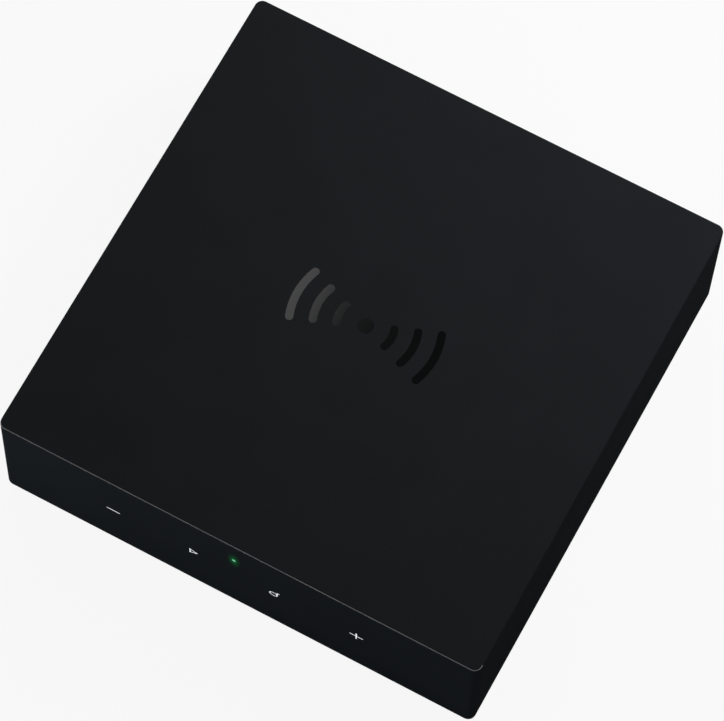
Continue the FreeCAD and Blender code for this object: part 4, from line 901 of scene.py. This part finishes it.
def ink_arrow(x, z, turn):
    """A triangle that points up, turned clockwise as seen from the front by that many degrees."""
    facing = Matrix.Rotation(math.pi / 2, 4, "X") @ Matrix.Rotation(math.radians(-turn), 4, "Z")
    sizes = {"radius1": ARROW_RADIUS, "radius2": ARROW_RADIUS, "depth": INK_DEPTH}
    matrix = ink_place(x, z) @ facing
    bmesh.ops.create_cone(panel_ink, cap_ends=True, segments=3, matrix=matrix, **sizes)


def middle_and_width(node):
    low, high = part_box(node)
    return (low[0] + high[0]) / 2, high[0] - low[0]


print("the ink starts at", round(PANEL_FACE / MM, 2), "mm and is", INK_DEPTH / MM, "mm thick")

# %% The row over the sockets
# Each socket has the way its arrow points, in degrees, or None where it has a mark of its own.
for node, turn in (
    ("coax_body", 0),
    ("optical_out_housing", 0),
    ("optical_in_housing", 180),
    ("trigger_jack_body", 0),
    ("ethernet_shield", None),
    ("usb_shell", None),
):
    x, width = middle_and_width(node)
    ink_bar(x, ROW_HEIGHT, width - INK_GAP, INK_LINE)
    if turn is not None:
        ink_arrow(x, ROW_HEIGHT + INK_GAP, turn)

# The network mark is one box over two, each tied by a short stem to the line between them. The
# power mark is a line over three dashes.
MARK_WIDTH = 2.4 * MM
BOX_SIZE = 0.8 * MM
STEM_LENGTH = 0.5 * MM
DASH_LENGTH = 0.6 * MM
x = middle_and_width("ethernet_shield")[0]
for across, up, stem in ((0.0, 2.6, 2.1), (-1.2, 1.2, 1.7), (1.2, 1.2, 1.7)):
    ink_bar(x + across * MM, ROW_HEIGHT + up * MM, BOX_SIZE, BOX_SIZE)
    ink_bar(x + across * MM, ROW_HEIGHT + stem * MM, INK_LINE, STEM_LENGTH)
ink_bar(x, ROW_HEIGHT + 1.9 * MM, MARK_WIDTH + INK_LINE, INK_LINE)
x = middle_and_width("usb_shell")[0]
ink_bar(x, ROW_HEIGHT + 1.7 * MM, MARK_WIDTH, INK_LINE)
for across in (-0.9, 0.0, 0.9):
    ink_bar(x + across * MM, ROW_HEIGHT + 1.1 * MM, DASH_LENGTH, INK_LINE)
print("faces of ink so far:", len(panel_ink.faces))

# %% The stacked pairs, and the finished print
# A line and an arrow stand beside each pair, on the side away from the other pair. Seen from
# behind, both arrows point right: towards the input's sockets, and away from the output's.
PAIR_SIDE = 6.4 * MM
for kind, side in (("line_in", 1), ("line_out", -1)):
    x = middle_and_width(kind + "_body")[0] + side * PAIR_SIDE
    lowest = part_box(f"{kind}_red_insert")[0][2]
    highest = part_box(f"{kind}_white_insert")[1][2]
    ink_bar(x, (lowest + highest) / 2, INK_LINE, highest - lowest - 2 * INK_GAP)
    ink_arrow(x + side * INK_GAP, (lowest + highest) / 2, -90)
film = add_piece("panel_print", panel_ink, "panel_ink")
print(film.name, "faces:", len(film.data.polygons))

# %% [markdown]
# ## The studio
#
# The picture is a plain product shot: a pale, even ground and soft light, with one broad lamp that
# the polished device catches on its left side. A backdrop could curve up behind the player, but
# the camera looks down, so a flat floor is all that it sees. The floor shows nearly white to the
# camera through Light Path, and not by more light, so that dark plastic keeps its own colour.


# %% The floor
EVEN_SHARE = 0.96
EVEN_WHITE = 0.95
FLOOR_HALF = 6.0
FLOOR_GAP = 0.05 * MM


def studio_floor():
    recipe = Recipe("studio_floor")
    recipe.finish(Base_Color=(0.88, 0.88, 0.88), Roughness=0.9, Specular_IOR_Level=0.1)
    ray = recipe.add("ShaderNodeLightPath", output="Is Camera Ray")
    shiny = recipe.add("ShaderNodeLightPath", output="Is Glossy Ray")
    clear = recipe.add("ShaderNodeLightPath", output="Is Transmission Ray")
    even = recipe.add("ShaderNodeEmission", inputs={"Color": (EVEN_WHITE, EVEN_WHITE, EVEN_WHITE)})
    share = ray.most(shiny).most(clear) * EVEN_SHARE
    lit = Value(recipe, recipe.shader.outputs[0])
    mixed = recipe.add("ShaderNodeMixShader", inputs=[share, lit, even])
    recipe.feed(recipe.graph.nodes["Material Output"].inputs["Surface"], mixed)
    return recipe.material


floor_mesh = bpy.data.meshes.new("floor")
plan = bmesh.new()
bmesh.ops.create_grid(plan, x_segments=1, y_segments=1, size=FLOOR_HALF)
plan.to_mesh(floor_mesh)
plan.free()
floor_mesh.transform(Matrix.Translation((0, 0, -FLOOR_GAP)))
floor = bpy.data.objects.new("floor", floor_mesh)
bpy.context.scene.collection.objects.link(floor)
floor_mesh.materials.append(studio_floor())
print("floor:", 2 * FLOOR_HALF, "m wide")

# %% [markdown]
# ## Light
#
# The world gives a weak, even light from all round. Four flat lamps do the rest: a broad one over
# the player, one behind it that lights the sockets and the top, and two weak, bluish ones for its
# front. A single strong lamp would leave the black sides without form. The weak lamps don't show
# in polished surfaces, where small bright squares would look odd.

# %% World and view
WORLD_GREY = 0.94
WORLD_STRENGTH = 0.12
world = bpy.data.worlds.new("studio")
bpy.context.scene.world = world
world.use_nodes = True
sky = world.node_tree.nodes["Background"]
sky.inputs["Color"].default_value = (WORLD_GREY, WORLD_GREY, WORLD_GREY, 1.0)
sky.inputs["Strength"].default_value = WORLD_STRENGTH
bpy.context.scene.view_settings.view_transform = "Standard"
print("world light:", round(WORLD_GREY * WORLD_STRENGTH, 3))


# %% Lamps
def soft_lamp(name, place, aim, size, power, colour=(1.0, 1.0, 1.0), mirrored=True):
    """A flat lamp that faces a point. Only a mirrored one shows in polished surfaces."""
    data = bpy.data.lights.new(name, "AREA")
    data.shape = "RECTANGLE"
    data.size, data.size_y = size
    data.energy = power
    data.color = colour
    lamp = bpy.data.objects.new(name, data)
    bpy.context.scene.collection.objects.link(lamp)
    place = Vector(place)
    facing = (place - Vector(aim)).to_track_quat("Z", "Y").to_matrix().to_4x4()
    lamp.matrix_world = Matrix.Translation(place) @ facing
    lamp.visible_camera = False
    lamp.visible_glossy = mirrored
    print(name, "lamp:", power, "W")


# %% Place the lamps
# The overhead panel's right edge stands a little left of where the middle of the polished device
# mirrors it, so that the device fades from grey on its left to black on its right.
OVERHEAD_SIZE = 0.5
OVERHEAD_HEIGHT = 1.04
EDGE_SHIFT = 0.029
mirrored_ray = Vector((-CAMERA_BACK.x, -CAMERA_BACK.y, CAMERA_BACK.z))
seen = mirrored_ray * (OVERHEAD_HEIGHT - CASE_TOP) / mirrored_ray.z
overhead_x = seen.x - EDGE_SHIFT - OVERHEAD_SIZE / 2
overhead = (overhead_x, seen.y, OVERHEAD_HEIGHT)
FILL_COLOUR = (0.84, 0.9, 1.0)
CORNER_COLOUR = (0.7, 0.9, 1.0)
soft_lamp("overhead", overhead, (overhead_x, seen.y, 0), (OVERHEAD_SIZE, OVERHEAD_SIZE), 2.9)
soft_lamp("back", (0.115, 0.22, 0.3), (0, 0, 0.04), (0.15, 0.15), 1.5)
soft_lamp("fill", (-0.32, -0.3, 0.06), (0, 0, 0.02), (0.2, 0.09), 1.2, FILL_COLOUR, mirrored=False)
soft_lamp("corner", (0.24, -0.42, 0.1), (0, 0, 0.02), (0.2, 0.12), 0.3, CORNER_COLOUR, mirrored=False)

# %% [markdown]
